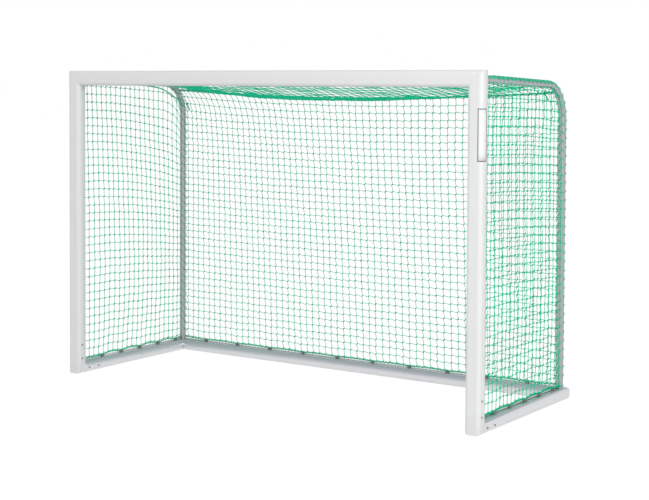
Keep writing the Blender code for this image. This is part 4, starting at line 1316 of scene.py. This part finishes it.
class GOAL_OT_nets(bpy.types.Operator):
    """Roof, back and side nets of knotted twine"""
    bl_idname = "goal.nets"
    bl_label = "Nets"

    def execute(self, context):
        settings = context.scene.goal_net

        def meshes(length):
            return round(length / settings.mesh_size)

        wide = meshes((2.0 * BOW_X + 2.0 * WRAP) * WIDE_FULLNESS)
        deep = meshes(BEND_MIDDLE - NET_TO_ROPE - FRONT_STANDOFF)
        tall = meshes((BOW_LENGTH - REAR_STANDOFF - BEND_MIDDLE) * BACK_FULLNESS)
        side_wide = meshes((REAR_RAIL_Y - POST_BACK_Y - FRONT_STANDOFF) * SIDE_FULLNESS)
        side_tall = meshes(CROSSBAR_Z - RAIL_TOP_Z - GROUND_STANDOFF)
        panels = {"roof_net": (roof_surface(wide, deep), wide, deep),
                  "back_net": (back_surface(wide, tall, settings.lean), wide, tall)}
        for name, side in SIDES:
            surface = side_surface(side, side_wide, side_tall)
            panels[f"{name}_side_net"] = (surface, side_wide, side_tall)

        # The knots get painted shade at 0.78 of the twine's colour.
        material = green_twine("net_twine", settings.colour, lay_length=0.0045, painted_knot_shade=0.78)
        tree, bead = net_tree(), knot_shape()
        bead.data.materials.append(material)
        for node, panel in panels.items():
            loose, thick = (ROOF_LOOSENESS, ROOF_TWINE) if node == "roof_net" else (1.0, 1.0)
            values = {"Twine Diameter": settings.twine * thick, "Knot Shape": bead,
                      "Knot Size": settings.knot, "Unevenness": settings.unevenness * loose,
                      "Seed": settings.seed, "Material": material}
            shares, marks = (SIDE_STEPS, ()) if "side" in node else (WIDE_STEPS, WRAP_MARKS)
            steps = [settings.step * share for share in shares]
            guide = net_guide(f"{node}_guide", *panel, steps, settings.knot * KNOT_REACH, marks)
            dress(grown_from(guide, tree, values, f"{node}_knotted"), "green_twine", node)
        bpy.data.objects.remove(bead, do_unlink=True)
        return {"FINISHED"}


class GOAL_OT_label(bpy.types.Operator):
    """Blank label on the right post"""
    bl_idname = "goal.label"
    bl_label = "Blank label"

    def execute(self, context):
        settings = context.scene.goal_frame
        dress(label_piece(blank_label(settings), settings), "white_powder_coat")
        return {"FINISHED"}


# Studio

def seen_directly(tree):
    """1 for what the camera sees straight, in a gloss or through glass, otherwise 0."""
    rays = add_node(tree, "ShaderNodeLightPath")
    gloss = add_math(tree, "MAXIMUM", rays["Is Glossy Ray"], rays["Is Transmission Ray"])
    return add_math(tree, "MAXIMUM", rays["Is Camera Ray"], gloss)


def studio_floor(colour):
    near, far = -FLOOR_REACH, FLOOR_REACH
    corners = [(near, near, 0.0), (far, near, 0.0), (far, far, 0.0), (near, far, 0.0)]
    item = mesh_object("studio_floor", corners, [], [(0, 1, 2, 3)])
    item.location.z = -FLOOR_DROP
    material, tree = new_material("studio_floor")
    shader = tree.nodes["Principled BSDF"]
    shader.inputs["Base Color"].default_value = opaque(colour, 0.80)
    shader.inputs["Roughness"].default_value = 0.9
    share, strength = FLOOR_GLOW
    glow = add_node(tree, "ShaderNodeEmission", {"Color": opaque(colour), "Strength": strength})
    shadowed = mix_shaders(tree, share, shader.outputs[0], glow[0])
    choice = mix_shaders(tree, seen_directly(tree), shader.outputs[0], shadowed)
    tree.links.new(choice, tree.nodes["Material Output"].inputs[0])
    item.data.materials.append(material)
    return item


def studio_world(settings):
    """An even light that is dimmer from behind the goal, before a pale backdrop."""
    world = bpy.data.worlds.new("studio")
    bpy.context.scene.world = world
    world.use_nodes = True
    tree = world.node_tree
    tree.nodes.clear()
    direction = add_node(tree, "ShaderNodeTexCoord")["Generated"]

    def faded(value, band, start, end):
        inputs = {0: value, 1: band[0], 2: band[1], 3: start, 4: end}
        return add_node(tree, "ShaderNodeMapRange", inputs)[0]

    overhead = faded(split(tree, direction)[2], CEILING_BAND, 0.0, 1.0)
    tone = mix_colours(tree, overhead, opaque(settings.floor_colour),
                       opaque(settings.ceiling_colour))
    away = add_vector_math(tree, "DOT_PRODUCT", direction, FAR_SIDE, output=1)
    dimmed = faded(away, FAR_BAND, 1.0, settings.far_side)
    even = {"Color": dimmed, "Strength": settings.sky_level}
    backdrop = {"Color": tone, "Strength": 1.0}
    light = mix_shaders(tree, seen_directly(tree), add_node(tree, "ShaderNodeBackground", even)[0],
                        add_node(tree, "ShaderNodeBackground", backdrop)[0])
    add_node(tree, "ShaderNodeOutputWorld", {0: light})


def key_light(power):
    data = bpy.data.lights.new("key_light", "AREA")
    data.shape = "RECTANGLE"
    data.size = data.size_y = KEY_SIZE
    data.energy = power
    lamp = add_object("key_light", data)
    lamp.location = KEY_PLACE
    lamp.rotation_euler = (KEY_TARGET - KEY_PLACE).to_track_quat("-Z", "Y").to_euler()


def photo_camera():
    """The camera that the photograph's lines lead back to."""
    width, height = PHOTO_SIZE
    yaw, pitch, roll = (math.radians(angle) for angle in CAMERA_TURN)
    level = Vector((-math.sin(yaw), math.cos(yaw), 0.0))
    forward = level * math.cos(pitch) - AXIS_Z * math.sin(pitch)
    aside = Vector((math.cos(yaw), math.sin(yaw), 0.0))
    right = aside * math.cos(roll) + aside.cross(forward) * math.sin(roll)
    data = bpy.data.cameras.new("photo_camera")
    data.sensor_width = 36.0
    data.lens = CAMERA_FOCAL * data.sensor_width / width
    data.shift_x = (width / 2.0 - CAMERA_CENTRE[0]) / width
    data.shift_y = (CAMERA_CENTRE[1] - height / 2.0) / width
    data.clip_end = 200.0
    camera = add_object("photo_camera", data)
    turned = Matrix((right, right.cross(forward), -forward)).transposed().to_4x4()
    camera.matrix_world = Matrix.Translation(CAMERA_PLACE) @ turned
    return camera


class GOAL_PT_panel(bpy.types.Panel):
    """Lists the settings and the steps"""
    bl_idname = "GOAL_PT_panel"
    bl_label = "Goal"
    bl_space_type = "VIEW_3D"
    bl_region_type = "UI"
    bl_category = "Goal"

    def draw(self, context):
        for group in (getattr(context.scene, name) for name in SETTINGS):
            box = self.layout.box()
            for name in group.bl_rna.properties.keys():
                if name not in ("rna_type", "name"):
                    box.prop(group, name)
        for step in STEPS:
            self.layout.operator(step.bl_idname)


SETTINGS = {"goal_frame": GoalFrameSettings, "goal_net": GoalNetSettings,
            "goal_studio": GoalStudioSettings}
STEPS = (GOAL_OT_stage, GOAL_OT_front_frame, GOAL_OT_ground_frame, GOAL_OT_bows,
         GOAL_OT_hardware, GOAL_OT_ropes, GOAL_OT_nets, GOAL_OT_label)
CLASSES = (*SETTINGS.values(), *STEPS, GOAL_PT_panel)


def register():
    for item in CLASSES:
        bpy.utils.register_class(item)
    for name, group in SETTINGS.items():
        setattr(bpy.types.Scene, name, PointerProperty(type=group))


def unregister():
    for name in SETTINGS:
        delattr(bpy.types.Scene, name)
    for item in reversed(CLASSES):
        bpy.utils.unregister_class(item)


def main():
    register()
    for step in STEPS:
        space, action = step.bl_idname.split(".")
        getattr(getattr(bpy.ops, space), action)()


if __name__ == "__main__":
    main()
